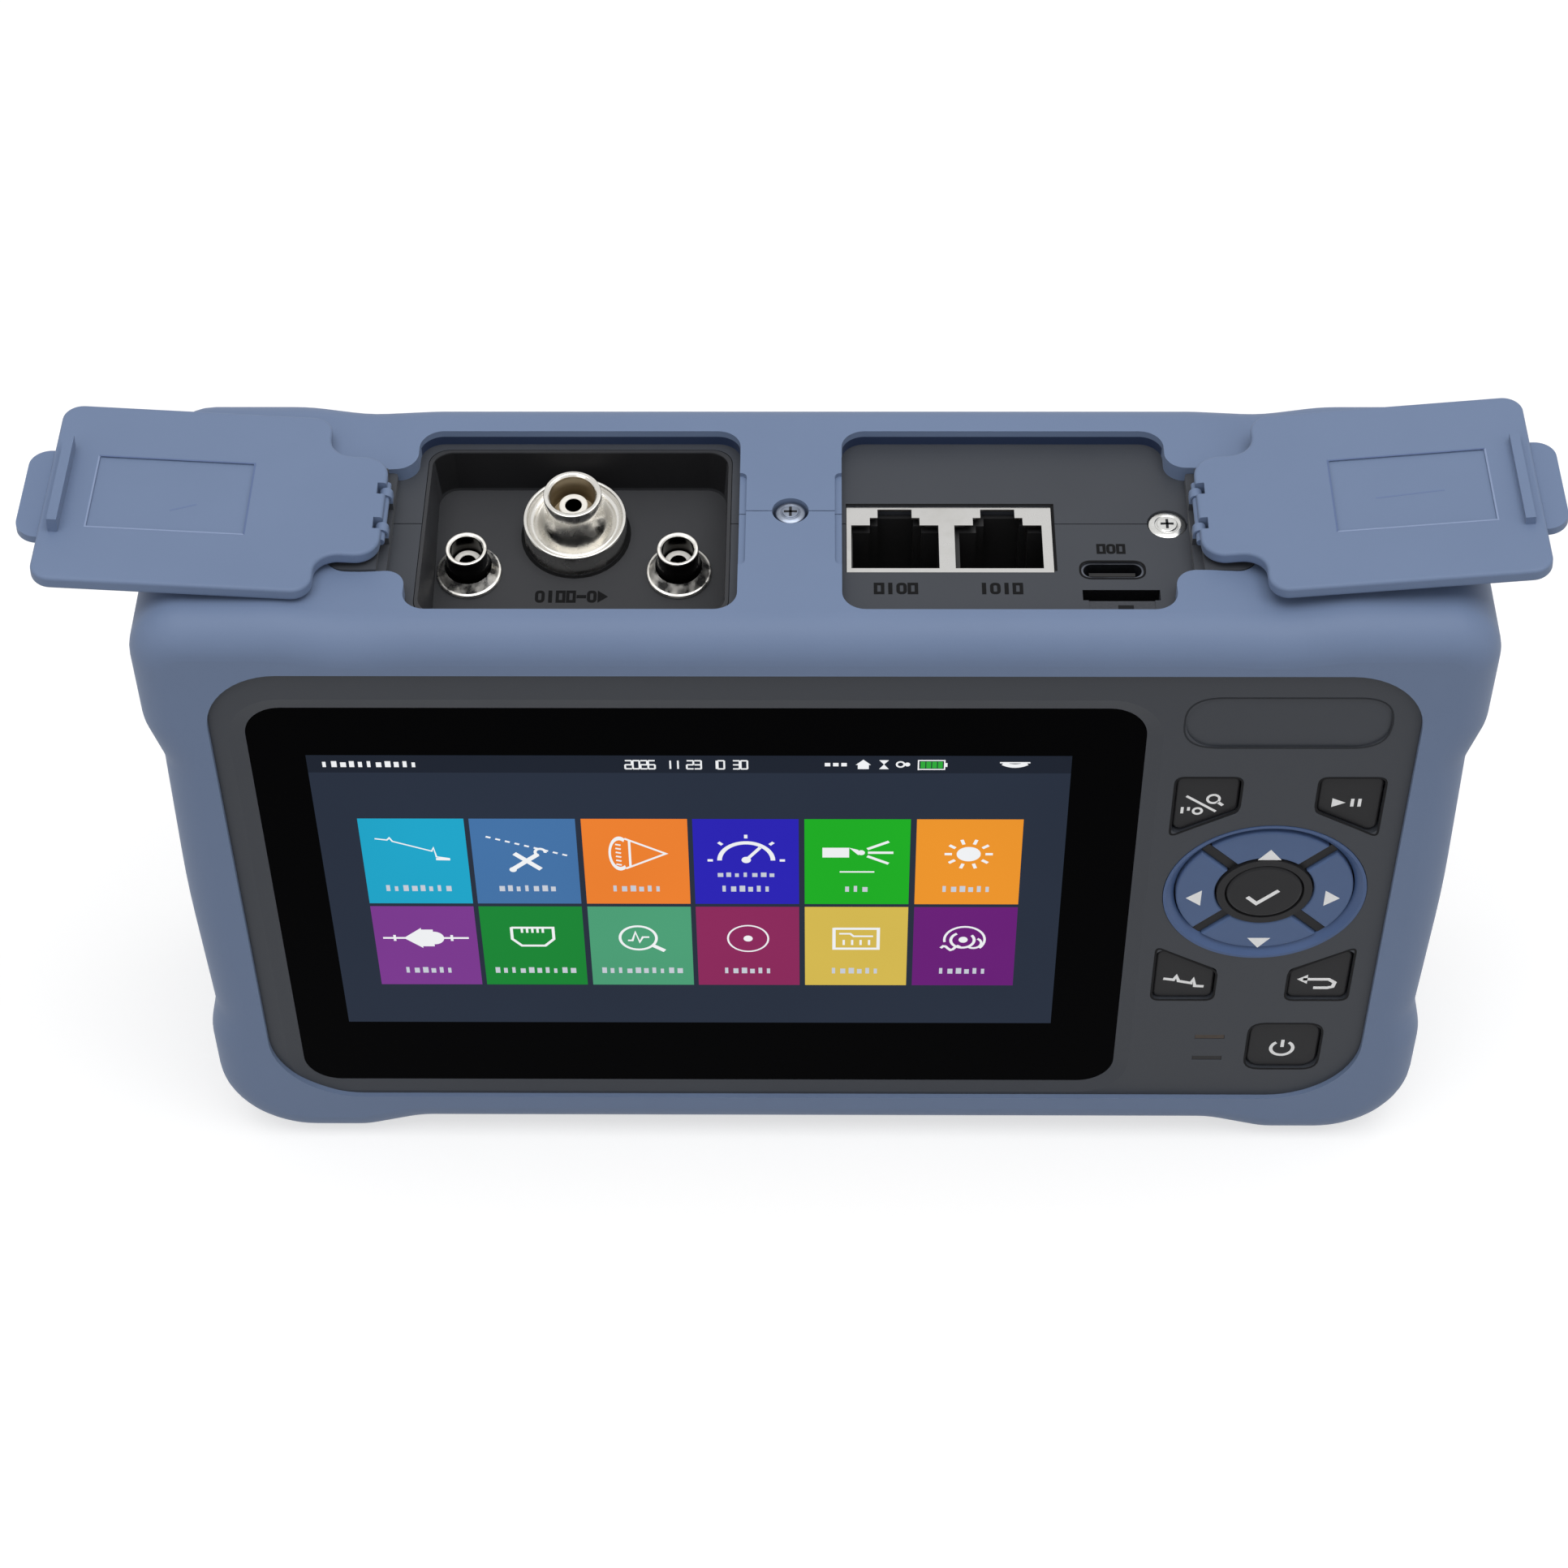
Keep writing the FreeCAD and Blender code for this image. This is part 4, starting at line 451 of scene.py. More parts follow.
def addPiece(name, points, faces, finish, body, crisp=30.0, colours=None, maps=None, parts=None, weld=False):
    # points in millimetres and in place; faces meeting at more than crisp degrees keep a sharp edge
    mesh = bpy.data.meshes.new(name)
    mesh.from_pydata((np.asarray(points) * mm).tolist(), [], [tuple(f) for f in faces])
    for one in (finish if isinstance(finish, tuple) else (finish,)):
        mesh.materials.append(finishes[one])
    if parts is not None:
        mesh.polygons.foreach_set("material_index", np.asarray(parts, np.int32))
    if colours is not None:
        ink = mesh.color_attributes.new("ink", "FLOAT_COLOR", "POINT")
        ink.data.foreach_set("color", np.asarray(colours, np.float32).ravel())
    if maps is not None:
        layer = mesh.uv_layers.new(name="turning")
        ends = np.empty(len(mesh.loops), np.int32)
        mesh.loops.foreach_get("vertex_index", ends)
        layer.data.foreach_set("uv", np.asarray(maps, np.float32)[ends].ravel())
    shape = bmesh.new()
    shape.from_mesh(mesh)
    if weld:
        bmesh.ops.remove_doubles(shape, verts=shape.verts, dist=1e-7)
    bmesh.ops.recalc_face_normals(shape, faces=shape.faces)
    shape.to_mesh(mesh)
    shape.free()
    mesh.shade_smooth()
    mesh.set_sharp_from_angle(angle=math.radians(crisp))
    piece = bpy.data.objects.new(name, mesh)
    bpy.context.scene.collection.objects.link(piece)
    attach(piece, body)
    return piece


# How far a drawn mark reaches into the surface that carries it.
markFoot = -0.02


def addDrawing(name, layers, where, finish, body):
    # each band is carried along its two edges with a four-sided section, from just under the surface
    # to its own height, and closed at its ends
    origin, u, v, out = where
    points, faces, colours, count = [], [], [], 0
    for colour, high, shapes in layers:
        for left, right, closed in shapes:
            n = len(left)
            flat = np.stack([left, right, right, left], axis=1)
            lift = np.array([high, high, markFoot, markFoot])[None, :, None]
            points.append((origin + flat[..., :1] * u + flat[..., 1:] * v + lift * out).reshape(-1, 3))
            i = np.arange(n if closed else n - 1)[:, None]
            k = np.arange(4)[None, :]
            ring, nextRing = i * 4, (i + 1) % n * 4
            after = (k + 1) % 4
            quads = np.stack([ring + k, ring + after, nextRing + after, nextRing + k], axis=-1).reshape(-1, 4)
            ends = [] if closed else [[3, 2, 1, 0], [n * 4 - 4, n * 4 - 3, n * 4 - 2, n * 4 - 1]]
            faces += (np.vstack([quads] + ([np.array(ends)] if ends else [])) + count).tolist()
            colours.append(np.tile(linear(colour), (n * 4, 1)))
            count += n * 4
    return addPiece(name, np.vstack(points), faces, finish, body, 20.0, np.vstack(colours))


# The picture on the display: tiles in two rows under a status bar. Sizes in millimetres from the
# lit area's lower left corner, tile colours row by row.
screen = {
    "left": -73.7, "low": 28.8, "wide": 111.1, "high": 62.3, "bar": 3.7,
    "back": "#293140", "barColour": "#1e2430", "ink": "#f2f4f6", "soft": "#c9ced8", "battery": "#2fa83a",
    "columns": (-67.6, -51.1, -34.5, -18.0, -1.4, 15.25), "tileWide": 15.75,
    "rows": ((57.9, 19.4), (38.3, 18.9)),
    "tiles": ("#1fa5c9", "#4472a6", "#ee8130", "#2b23b5", "#1eae24", "#ee962c",
              "#7c3a90", "#1b8636", "#4d9f77", "#8c2a5c", "#d7bb52", "#6a1f78"),
    "labels": (8, 7, 6, 6, 3, 6, 6, 10, 10, 6, 6, 6), "clock": "2026 11 23 10 30",
}

# Strokes of the clock's figures on a grid one wide and two high, in the order of a seven bar display.
strokes = (((0, 2), (1, 2)), ((1, 2), (1, 1)), ((1, 1), (1, 0)), ((0, 0), (1, 0)), ((0, 1), (0, 0)), ((0, 2), (0, 1)),
           ((0, 1), (1, 1)))
figures = ("012345", "12", "01346", "01236", "1256", "02356", "023456", "012", "0123456", "012356")


def figureRow(text, u, v, size, step, width):
    shapes = []
    for k, sign in enumerate(text):
        if sign.isdigit():
            for s in figures[int(sign)]:
                path = np.array(strokes[int(s)], float) * (size * 0.55, size / 2) + (u + k * step, v)
                shapes.append(line(path, width))
    return shapes


def icons():
    # one list of shapes for each tile, about the tile's middle: generic pictures of what such a tester does
    turn = np.radians(np.arange(10) * 36.0)
    rays = [line([(2.5 * math.cos(a), 2.3 * math.sin(a)), (3.6 * math.cos(a), 3.4 * math.sin(a))], 0.5) for a in turn]
    wave = np.linspace(0, 1, 9)
    return [
        [line([(-5.7, 5.2), (-3.9, 4.9), (-3.5, 5.4), (-3.1, 4.6), (1.3, 2.9), (2.6, 2.4), (2.9, 3.2), (3.2, 1.1),
               (5.1, 0.7)], 0.24), line([(3.1, 0.6), (5.2, 0.55)], 0.5)],
        [line([(-5.6 + 1.4 * k, 5.7 - 0.5 * k), (-4.9 + 1.4 * k, 5.45 - 0.5 * k)], 0.34) for k in range(9)]
        + [line([(-1.6, 1.9), (2.2, -1.7)], 0.8), line([(-1.9, -1.6), (1.9, 1.7)], 0.8),
           arc((2.3, 2.2), 0.75, -10, 250, 0.45), disc((-2.0, -1.8), 0.55)],
        [arc((-2.4, 1.9), 1.5, 60, 300, 0.36, 2.3), line([(-1.6, 5.3), (4.5, 1.9), (-1.6, -1.5)], 0.36),
         line([(-0.9, 4.9), (-0.9, -1.1)], 0.36)]
        + [line([(-3.0, 4.0 - 0.9 * k), (-2.2, 3.8 - 0.9 * k)], 0.3) for k in range(6)],
        [arc((0, 0.4), 4.0, 0, 180, 0.7), line([(0, 0.5), (2.1, 3.3)], 0.55), disc((0, 0.5), 0.7)]
        + [line([(5.0 * math.cos(a), 0.4 + 5.0 * math.sin(a)), (5.8 * math.cos(a), 0.4 + 5.8 * math.sin(a))], 0.5)
           for a in np.radians((0, 45, 90, 135, 180))],
        [block(-5.2, 1.1, -1.2, 3.3), triangle((-1.2, 3.3), (0.2, 2.8), (0.2, 1.6)), disc((0.6, 2.2), 0.55),
         line([(1.6, 2.2), (5.4, 2.2)], 0.5), line([(1.5, 3.0), (4.7, 4.7)], 0.5),
         line([(1.5, 1.4), (4.7, -0.3)], 0.5), line([(-2.6, -2.2), (2.6, -2.2)], 0.3)],
        [disc((0, 1.9), 1.8, 0.9)] + moved(rays, 0, 1.9),
        [line([(-6.6, 1.9), (-2.6, 1.9)], 0.4), line([(2.6, 1.9), (6.6, 1.9)], 0.4),
         triangle((-3.4, 1.9), (-0.6, 4.3), (-0.6, -0.5)), block(-0.6, -0.1, 1.2, 3.9), disc((1.3, 1.9), 1.5),
         line([(4.0, 2.6), (4.0, 1.2)], 0.4), line([(-4.8, 2.6), (-4.8, 1.2)], 0.4)],
        [line([(-3.2, 4.4), (3.2, 4.4), (3.2, 1.7), (1.8, 0.1), (-1.8, 0.1), (-3.2, 1.7), (-3.2, 4.5)], 0.45)]
        + [line([(-1.6 + 0.8 * k, 4.2), (-1.6 + 0.8 * k, 3.2)], 0.36) for k in range(5)],
        [arc((-0.4, 2.0), 2.8, 0, 360, 0.42), line([(1.8, 0.2), (3.6, -1.1)], 0.7),
         line([(-2.0, 1.4), (-1.3, 1.4), (-0.8, 3.4), (-0.2, 1.0), (0.3, 2.2), (1.3, 2.2)], 0.34)],
        [arc((0, 1.9), 3.1, 0, 360, 0.28), disc((0, 1.9), 0.7)],
        [line([(-3.4, 4.3), (3.4, 4.3), (3.4, -0.5), (-3.4, -0.5), (-3.4, 4.5)], 0.5),
         line([(-2.6, 3.1), (-0.9, 3.1), (-0.4, 2.5), (2.6, 2.5)], 0.35)]
        + [line([(-1.9 + 1.3 * k, 1.6), (-1.9 + 1.3 * k, 0.4)], 0.35) for k in range(4)],
        [arc((0, 1.7), 3.1, -40, 190, 0.38), arc((-0.3, 1.6), 1.8, 120, 400, 0.45), disc((-0.2, 1.7), 0.7),
         line(np.stack([-3.6 + 3.0 * wave, -0.3 + 0.5 * np.sin(wave * 9)], axis=1), 0.45),
         arc((1.4, 0.9), 1.2, -130, 60, 0.4)],
    ]


def makeScreen(look):
    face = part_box("touch_glass")[0][1] / mm
    where = plane((0, face, 0), (1, 0, 0), (0, 0, 1))
    left, low = look["left"], look["low"]
    right, high = left + look["wide"], low + look["high"]
    bar = high - look["bar"]
    layers = [(look["back"], 0.02, [block(left, low, right, high)]),
              (look["barColour"], 0.03, [block(left, bar, right, high)])]
    drawn = icons()
    for k, colour in enumerate(look["tiles"]):
        row, column = divmod(k, 6)
        base, tall = look["rows"][row]
        near = look["columns"][column]
        layers.append((colour, 0.035, [block(near, base, near + look["tileWide"], base + tall)]))
        middle = near + look["tileWide"] / 2
        shapes = moved(drawn[k], middle, base + tall / 2)
        count = look["labels"][k]
        layers.append((look["ink"], 0.05, shapes))
        layers.append((look["soft"], 0.05, label(middle, base + 2.9, count, 1.35)))
        if k == 3:
            layers.append((look["soft"], 0.05, label(middle, base + 6.3, 7, 1.0)))
    ink = label(left + 9.2, bar + 1.2, 11, 1.25)
    ink += figureRow(look["clock"], -27.4, bar + 0.9, 1.75, 1.12, 0.26)
    ink += blocks(1.6, bar + 1.5, 3, 0.8, 0.7, 0.4)
    ink += [block(6.4, bar + 0.9, 8.0, bar + 1.9), triangle((7.2, bar + 2.9), (6.1, bar + 1.8), (8.3, bar + 1.8))]
    ink += [triangle((10.2, bar + 1.9), (9.5, bar + 2.8), (10.9, bar + 2.8)),
            triangle((10.2, bar + 1.9), (9.5, bar + 0.9), (10.9, bar + 0.9))]
    ink += [arc((12.6, bar + 1.9), 0.55, 0, 360, 0.28), disc((13.6, bar + 1.9), 0.4)]
    ink += [line([(15.2, bar + 0.85), (19.0, bar + 0.85), (19.0, bar + 2.75), (15.2, bar + 2.75),
                  (15.2, bar + 0.7)], 0.2), block(19.1, bar + 1.4, 19.4, bar + 2.2)]
    ink += [arc((29.2, bar + 4.6), 3.0, 235, 305, 0.75), line([(27.0, bar + 2.3), (31.4, bar + 2.3)], 0.25)]
    layers.append((look["ink"], 0.05, ink))
    layers.append((look["battery"], 0.045, blocks(15.5, bar + 1.1, 4, 0.7, 1.4, 0.14)))
    addDrawing("screen_picture", layers, where, "litScreen", "case")


makeScreen(screen)
print("screen drawn")

# White marks printed on the keys, about the middle of each key's face: [key, button, shapes].
keyInk = "#fbfbfb"
arrow = [triangle((0, 1.35), (-1.75, -0.95), (1.75, -0.95))]


def turned(shapes, angle):
    c, s = math.cos(math.radians(angle)), math.sin(math.radians(angle))
    spin = np.array([(c, s), (-s, c)])
    return [(left @ spin, right @ spin, closed) for left, right, closed in shapes]


keyMarks = {
    "zoom": ((-0.5, 0.1), moved([arc((1.55, 1.15), 1.05, 0, 360, 0.46), line([(2.3, 0.4), (3.3, -0.5)], 0.6),
                                 line([(-3.2, 1.9), (2.2, -2.1)], 0.5), arc((-1.0, -2.0), 0.75, 0, 360, 0.46),
                                 line([(-3.7, -1.0), (-3.7, -2.6)], 0.5), line([(-2.6, -1.0), (-2.6, -1.9)], 0.5)],
                                0.2, 0.1, 0.84)),
    "start": ((-0.5, 0.4), moved([triangle((0.1, 0.0), (-2.5, 1.25), (-2.5, -1.25)), block(1.1, -1.1, 1.75, 1.1),
                                  block(2.5, -1.1, 3.15, 1.1)], -0.1, 0.0, 0.76)),
    "trace": ((0.0, -2.6), [line([(-3.2, 1.1), (-1.6, 0.8), (-1.2, 1.7), (-0.8, 0.5), (1.2, 0.0), (1.5, 1.0),
                                  (1.8, -0.7), (3.2, -0.8)], 0.55)]),
    "back": ((0.0, -2.2), [line([(-2.4, 0.6), (1.6, 0.6), (2.6, -0.2), (2.4, -1.2), (1.6, -1.5), (-0.6, -1.5)], 0.6),
                           triangle((-3.3, 0.6), (-1.7, 1.7), (-1.7, -0.5))]),
    "power": ((-0.1, -1.0), [arc((0, 0), 1.75, 125, 415, 0.55), line([(0, 0.3), (0, 2.1)], 0.55)]),
    "centre": ((-0.3, -1.3), [line([(-2.2, 0.2), (-0.7, -1.3), (2.4, 1.7)], 0.66)]),
    "up": ((0.1, -1.6), turned(arrow, 0)),
    "down": ((0.2, -2.2), turned(arrow, 180)),
    "left": ((-0.6, -1.6), turned(arrow, 90)),
    "right": ((0.4, -1.6), turned(arrow, -90)),
}


def makeKeyMarks():
    for key, (shift, shapes) in keyMarks.items():
        low, high = corners(key + "_key")
        middle = (low + high) / 2
        where = plane((middle[0] + shift[0], low[1], middle[2] + shift[1]), (1, 0, 0), (0, 0, 1))
        addDrawing(key + "_mark", [(keyInk, 0.03, shapes)], where, "printInk", key + "_button")


makeKeyMarks()
print("keys marked")

# The corners of a square about its middle, anticlockwise from the lower left.
around = ((-1, -1), (1, -1), (1, 1), (-1, 1))

# Fine dark lines on the bezel: the joints round the keys, darkened as painted shade in the gaps, and the edge of the
# blank plate, a dark joint that is partly painted shade.
bezelLines = {
    "joint": "#0d0d0f", "plateEdge": "#2c2e32", "plate": (29.6, 10.4, 98.7), "plateShift": -0.2,
    "gapShadeWide": 0.34, "edgeWide": 0.26, "powerCorner": 2.6,
    "corner": ((5.55, 18.7, 1.2), (5.55, 25.85, 1.4), (15.35, 25.85, 1.4), (15.35, 12.9, 1.2)), "power": 11.7,
}


def makeBezelLines(look):
    pad = corners("pad_ring")
    middle = (pad[0] + pad[1]) / 2
    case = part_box("front_case")[0][1] / mm
    where = plane((0, case, 0), (1, 0, 0), (0, 0, 1))
    joints = []
    for sx in (-1, 1):
        for sz in (-1, 1):
            joint = [(middle[0] + sx * x, middle[2] + sz * z, r) for x, z, r in look["corner"]]
            # the joint is drawn near black: painted shade in the gap round each key
            joints.append(outline(joint, look["gapShadeWide"]))
    low, high = corners("power_key")
    x, z, half = (low[0] + high[0]) / 2, (low[2] + high[2]) / 2, look["power"] / 2
    joints.append(outline([(x + a * half, z + b * half, look["powerCorner"]) for a, b in around], look["gapShadeWide"]))
    wide, tall, level = look["plate"]
    x0, x1 = middle[0] - wide / 2 + look["plateShift"], middle[0] + wide / 2 + look["plateShift"]
    z0, z1 = level - tall / 2, level + tall / 2
    edge = outline([(x0, z0, tall / 2), (x1, z0, tall / 2), (x1, z1, tall / 2), (x0, z1, tall / 2)],
                   look["edgeWide"], 14)
    addDrawing("bezel_lines", [(look["joint"], 0.03, joints), (look["plateEdge"], 0.03, [edge])], where, "panelPaint",
               "case")


makeBezelLines(bezelLines)
print("bezel lined")

# Turned ports. Each profile is (radius, height above the tray floor, corner radius), anticlockwise.
ports = {
    "otdr": {
        "node": "otdr_adapter", "rimUp": 7.0, "sunk": 0.0, "shank": 6.0, "skin": "turnedNickel", "bore": "boreNickel",
        "profile": ((2.02, -6.0, 0.1), (4.95, -6.0, 0.2), (4.95, 0.02, 0.0), (7.6, 0.02, 0.15), (7.6, 4.0, 0.34),
                    (7.05, 4.0, 0.16), (6.85, 3.1, 0.3), (6.1, 2.7, 0.6), (4.25, 6.1, 1.6), (4.25, 9.6, 0.24),
                    (3.66, 9.6, 0.14), (3.3, 9.2, 0.15), (3.3, 4.6, 0.12), (2.02, 4.6, 0.06)),
    },
    "power_meter": {
        "node": "power_meter_adapter", "rimUp": 3.4, "sunk": 0.5, "shank": 6.0, "skin": "tumbledNickel",
        "bore": "paintedBoreShade",
        "profile": ((2.02, -6.0, 0.1), (2.55, -6.0, 0.1), (2.55, 0.02, 0.0), (4.7, 0.02, 0.1), (4.75, 0.62, 0.2),
                    (4.4, 0.72, 0.12), (3.02, 2.5, 0.7), (3.0, 6.0, 0.2), (2.6, 6.0, 0.12),
                    (2.3, 5.7, 0.1), (2.3, 2.2, 0.1), (2.02, 2.2, 0.05)),
    },
}
ports["fault_finder"] = dict(ports["power_meter"], node="fault_finder_adapter")
sleeve = {"outer": 1.98, "lip": 2.12, "bore": 1.22, "foot": -5.9, "neck": 1.6, "lipTall": 1.5}


def turnedPiece(name, profile, mount, above, finish, steps=144, weld=False, dark=None):
    # point (i, j) = r_i cos a_j, r_i sin a_j, h_i: the profile carried once round the axis. The map holds the
    # way along the profile in millimetres. dark is the radius and height past which the second finish starts.
    path = rounded(profile)
    angle = np.arange(steps) * 2 * math.pi / steps
    r = np.repeat(path[:, :1], steps, axis=1)
    h = np.repeat(path[:, 1:], steps, axis=1)
    local = np.stack([r * np.cos(angle), r * np.sin(angle), h], axis=-1).reshape(-1, 3)
    n = len(path)
    i, j = np.arange(n)[:, None], np.arange(steps)[None, :]
    nextI, nextJ = (i + 1) % n, (j + 1) % steps
    faces = np.stack([i * steps + j, i * steps + nextJ, nextI * steps + nextJ, nextI * steps + j], axis=-1)
    gap = np.linalg.norm(np.diff(path, axis=0), axis=1)
    way = np.concatenate([[0], np.cumsum(gap)])
    maps = np.stack([np.broadcast_to(angle / (2 * math.pi), (n, steps)), np.repeat(way[:, None], steps, axis=1)],
                    axis=-1).reshape(-1, 2)
    axis = np.array(mount["axis"], float)
    across = np.array([1.0, 0.0, 0.0])
    turn = np.stack([across, np.cross(axis, across), axis])
    place = np.array(mount["pos_m"]) / mm - above * axis
    middle = (path[:, 0] + np.roll(path[:, 0], -1)) / 2
    level = (path[:, 1] + np.roll(path[:, 1], -1)) / 2
    within, lowest = dark or (profile[0][0] + 1.4, 0.5)
    bore = (middle < within) & (level > lowest) & (level < path[:, 1].max() - 0.2)
    parts = np.repeat(bore, steps) if isinstance(finish, tuple) else None
    return addPiece(name, place + local @ turn, faces.reshape(-1, 4).tolist(), finish, "case", 40.0,
                    maps=maps, parts=parts, weld=weld)


def makePorts():
    mounts = {m["name"]: m for m in frame["record"]["mounts"]}
    for name, look in ports.items():
        mount = mounts[name + "_ferrule"]
        # the mount sits halfway down the bore, which runs from the sleeve's rim to the end of the shank
        above = (look["rimUp"] - look["shank"]) / 2
        body = turnedPiece(name + "_port", look["profile"], mount, above, (look["skin"], look["bore"]))
        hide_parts(look["node"])
        rim = look["rimUp"] - look["sunk"]
        profile = ((sleeve["bore"], sleeve["foot"], 0.05), (sleeve["outer"], sleeve["foot"], 0.1),
                   (sleeve["outer"], rim - sleeve["neck"], 0.0), (sleeve["lip"], rim - sleeve["lipTall"], 0.1),
                   (sleeve["lip"], rim, 0.3),
                   (sleeve["bore"], rim, 0.16))
        # inside the white sleeve the bore takes the near black bore finish: painted shade
        tube = turnedPiece(name + "_ceramic", profile, mount, above, ("zirconia", "paintedBoreShade"), steps=96,
                           dark=(1.3, -9.0))
        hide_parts(name + "_sleeve")


makePorts()
print("ports turned")

# Marks moulded into the panels near the ports, drawn near black; a dark joint round the USB port, painted shadow in
# the gap along the jack's back and right edges; and the jack's face plate.
panel = {"mark": "#060607", "edge": "#050506", "plateUp": 0.62, "plateThick": 0.3, "low": 0.9, "shift": -0.38,
         "apart": 14.9, "plug": (12.6, 8.9), "step": (7.2, 1.55), "latch": (4.95, 1.75)}


def sign(u, v, kinds, tall=2.3):
    # small bold figures in a row: a ring, a box, an upright bar, a short bar and an arrow head
    half = tall / 2
    high = half - 0.25
    made = {"o": lambda x: [outline([(x + 0.5 * a, v + b * high, 0.49) for a, b in around], 0.5)],
            "b": lambda x: [line([(x + 0.5 * a, v + b * high) for a, b in around], 0.5, True)],
            "i": lambda x: [block(x - 0.3, v - half, x + 0.3, v + half)],
            "-": lambda x: [block(x - 0.75, v - 0.3, x + 0.75, v + 0.3)],
            ">": lambda x: [triangle((x + 0.9, v), (x - 0.7, v + half), (x - 0.7, v - half))]}
    return [shape for k, kind in enumerate(kinds) for shape in made[kind](u + (k - (len(kinds) - 1) / 2) * 1.6)]


def makePanelMarks(look):
    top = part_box("rear_case")[1][2] / mm
    jack = corners("network_jack")
    usb = corners("usb_port_shell")
    where = plane((0, 0, top), (1, 0, 0), (0, 1, 0))
    front, back = jack[0][1], jack[1][1]
    middle = (jack[0][0] + jack[1][0]) / 2 + look["shift"]
    half = look["apart"] / 2
    marks = sign(middle - half, front - 3.4, "biob") + sign(middle + half, front - 3.4, "ioib")
    across, deep = (usb[0][0] + usb[1][0]) / 2, (usb[0][1] + usb[1][1]) / 2
    marks += moved(sign(0, 0, "bob"), across, deep + 4.3, 0.88)
    w, h = (usb[1][0] - usb[0][0]) / 2 + 0.14, (usb[1][1] - usb[0][1]) / 2 + 0.14
    # the ring round the USB port is a dark joint; the bars along the jack's back and right edges are painted shadow
    # in the gap beside it
    edge = [outline([(across + a * w, deep + b * h, h) for a, b in around], 0.3, 12),
            block(jack[0][0] - 0.1, back + 0.08, jack[1][0] + 0.45, back + 0.5),
            block(jack[1][0] + 0.08, front + 0.2, jack[1][0] + 0.45, back + 0.2)]
    addDrawing("panel_marks", [(look["mark"], 0.03, marks), (look["edge"], 0.04, edge)], where, "panelPaint",
               "case")

    # the face plate, as upright and level bars round the two stepped plug openings
    where = plane((0, 0, jack[1][2] + look["plateUp"]), (1, 0, 0), (0, 1, 0))
    low, levels = front + look["low"], []
    for wide, tall in (look["plug"], look["step"], look["latch"]):
        levels.append((low, low + tall, wide))
        low += tall
    bars = [block(jack[0][0], front, jack[1][0], front + look["low"]), block(jack[0][0], low, jack[1][0], back)]
    for v0, v1, wide in levels:
        edges = [jack[0][0], middle - half - wide / 2, middle - half + wide / 2, middle + half - wide / 2,
                 middle + half + wide / 2, jack[1][0]]
        bars += [block(edges[k], v0, edges[k + 1], v1) for k in (0, 2, 4)]
    plate = addDrawing("jack_face", [("#ffffff", look["plateThick"], bars)], where, "shieldTin", "case")
    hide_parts("network_jack")


makePanelMarks(panel)
print("panel marked")

# The mark moulded into the tray's tilted floor in front of the middle port, and a dark ring round that port: painted
# contact shadow where the port meets the floor.
trayMark = {"forward": 11.5, "shift": -0.3, "kinds": "oibb-o>", "ring": 7.85, "shadowRingWidth": 0.55}


def makeTrayMark(look):
    mount = {m["name"]: m for m in frame["record"]["mounts"]}["otdr_ferrule"]
    axis = np.array(mount["axis"], float)
    across = np.array([1.0, 0.0, 0.0])
    up = np.cross(axis, across)
    above = (ports["otdr"]["rimUp"] - ports["otdr"]["shank"]) / 2
    origin = np.array(mount["pos_m"]) / mm - above * axis
    shapes = moved(sign(0, 0, look["kinds"]), look["shift"], -look["forward"], 0.95)
    # the ring is painted contact shadow round the port
    ring = [arc((0.0, -0.1), look["ring"], 0, 360, look["shadowRingWidth"])]
    addDrawing("tray_mark", [(panel["mark"], 0.03, shapes), (panel["edge"], 0.02, ring)],
               plane(origin, across, up), "panelPaint", "case")


makeTrayMark(trayMark)
print("tray marked")

# Fine creases on the inner face of each flap: the edge of the sunk field, darker on two sides as painted shade and
# paler on the other two as painted highlight, and a plain stroke on the field's own floor. Lengths run from the hinge
# outwards; the stroke is two points on the flap.
flapLines = {
    "faceFrom": 1.55, "field": (19.2, 41.6, 7.4), "sunk": 0.25, "wide": 0.26, "high": 0.02,
    "dark": "#5b6c91", "paintedHighlight": "#8695b4", "scratch": "#65769a",
    "left": {"side": -1, "stroke": ((26.6, 1.5), (30.2, 3.0))},
    "right": {"side": 1, "stroke": ((25.2, -0.9), (35.0, -0.3))},
}


def makeFlapLines(look):
    joints = {j["name"]: j for j in frame["record"]["behaviour"]["joints"]}
    inner, outer, half = look["field"]
    for name in ("left", "right"):
        side, joint = look[name]["side"], joints[name + "_flap_hinge"]
        tilt = math.radians(180 - joint["range_deg"][1])
        along = np.array([side * math.cos(tilt), 0.0, math.sin(tilt)])
        out = np.array([-side * math.sin(tilt), 0.0, math.cos(tilt)])
        origin = np.array(joint["pos_m"]) / mm + look["faceFrom"] * out
        back = side * half
        # the darker lines are painted shade on the field's edge, the paler lines painted highlight
        dark = [line([(inner, -back), (inner, back), (outer, back)], look["wide"])]
        paintedHighlight = [line([(outer, back), (outer, -back), (inner, -back)], look["wide"])]
        stroke = [line(look[name]["stroke"], look["wide"])]
        high, sides = look["high"], (along, (0, side, 0))
        addDrawing(name + "_flap_lines", [(look["dark"], high, dark), (look["paintedHighlight"], high, paintedHighlight)],
                   plane(origin, *sides), "creaseRubber", name + "_flap")
        addDrawing(name + "_flap_stroke", [(look["scratch"], high, stroke)],
                   plane(origin - look["sunk"] * out, *sides), "creaseRubber", name + "_flap")


makeFlapLines(flapLines)
print("flaps lined")

# The memory card's slot: its far wall lies in the dark, drawn as a black sheet of painted shade, and a paler pad lies
# in the scoop in front of it, with a dark patch of painted shade on it.
cardSlot = {"shade": "#050506", "ramp": "#47494e", "patch": "#141416", "mouth": 2.1, "scoop": (9.4, 3.0, 0.9),
            "fall": 0.22, "half": 5.45, "deep": 3.0}


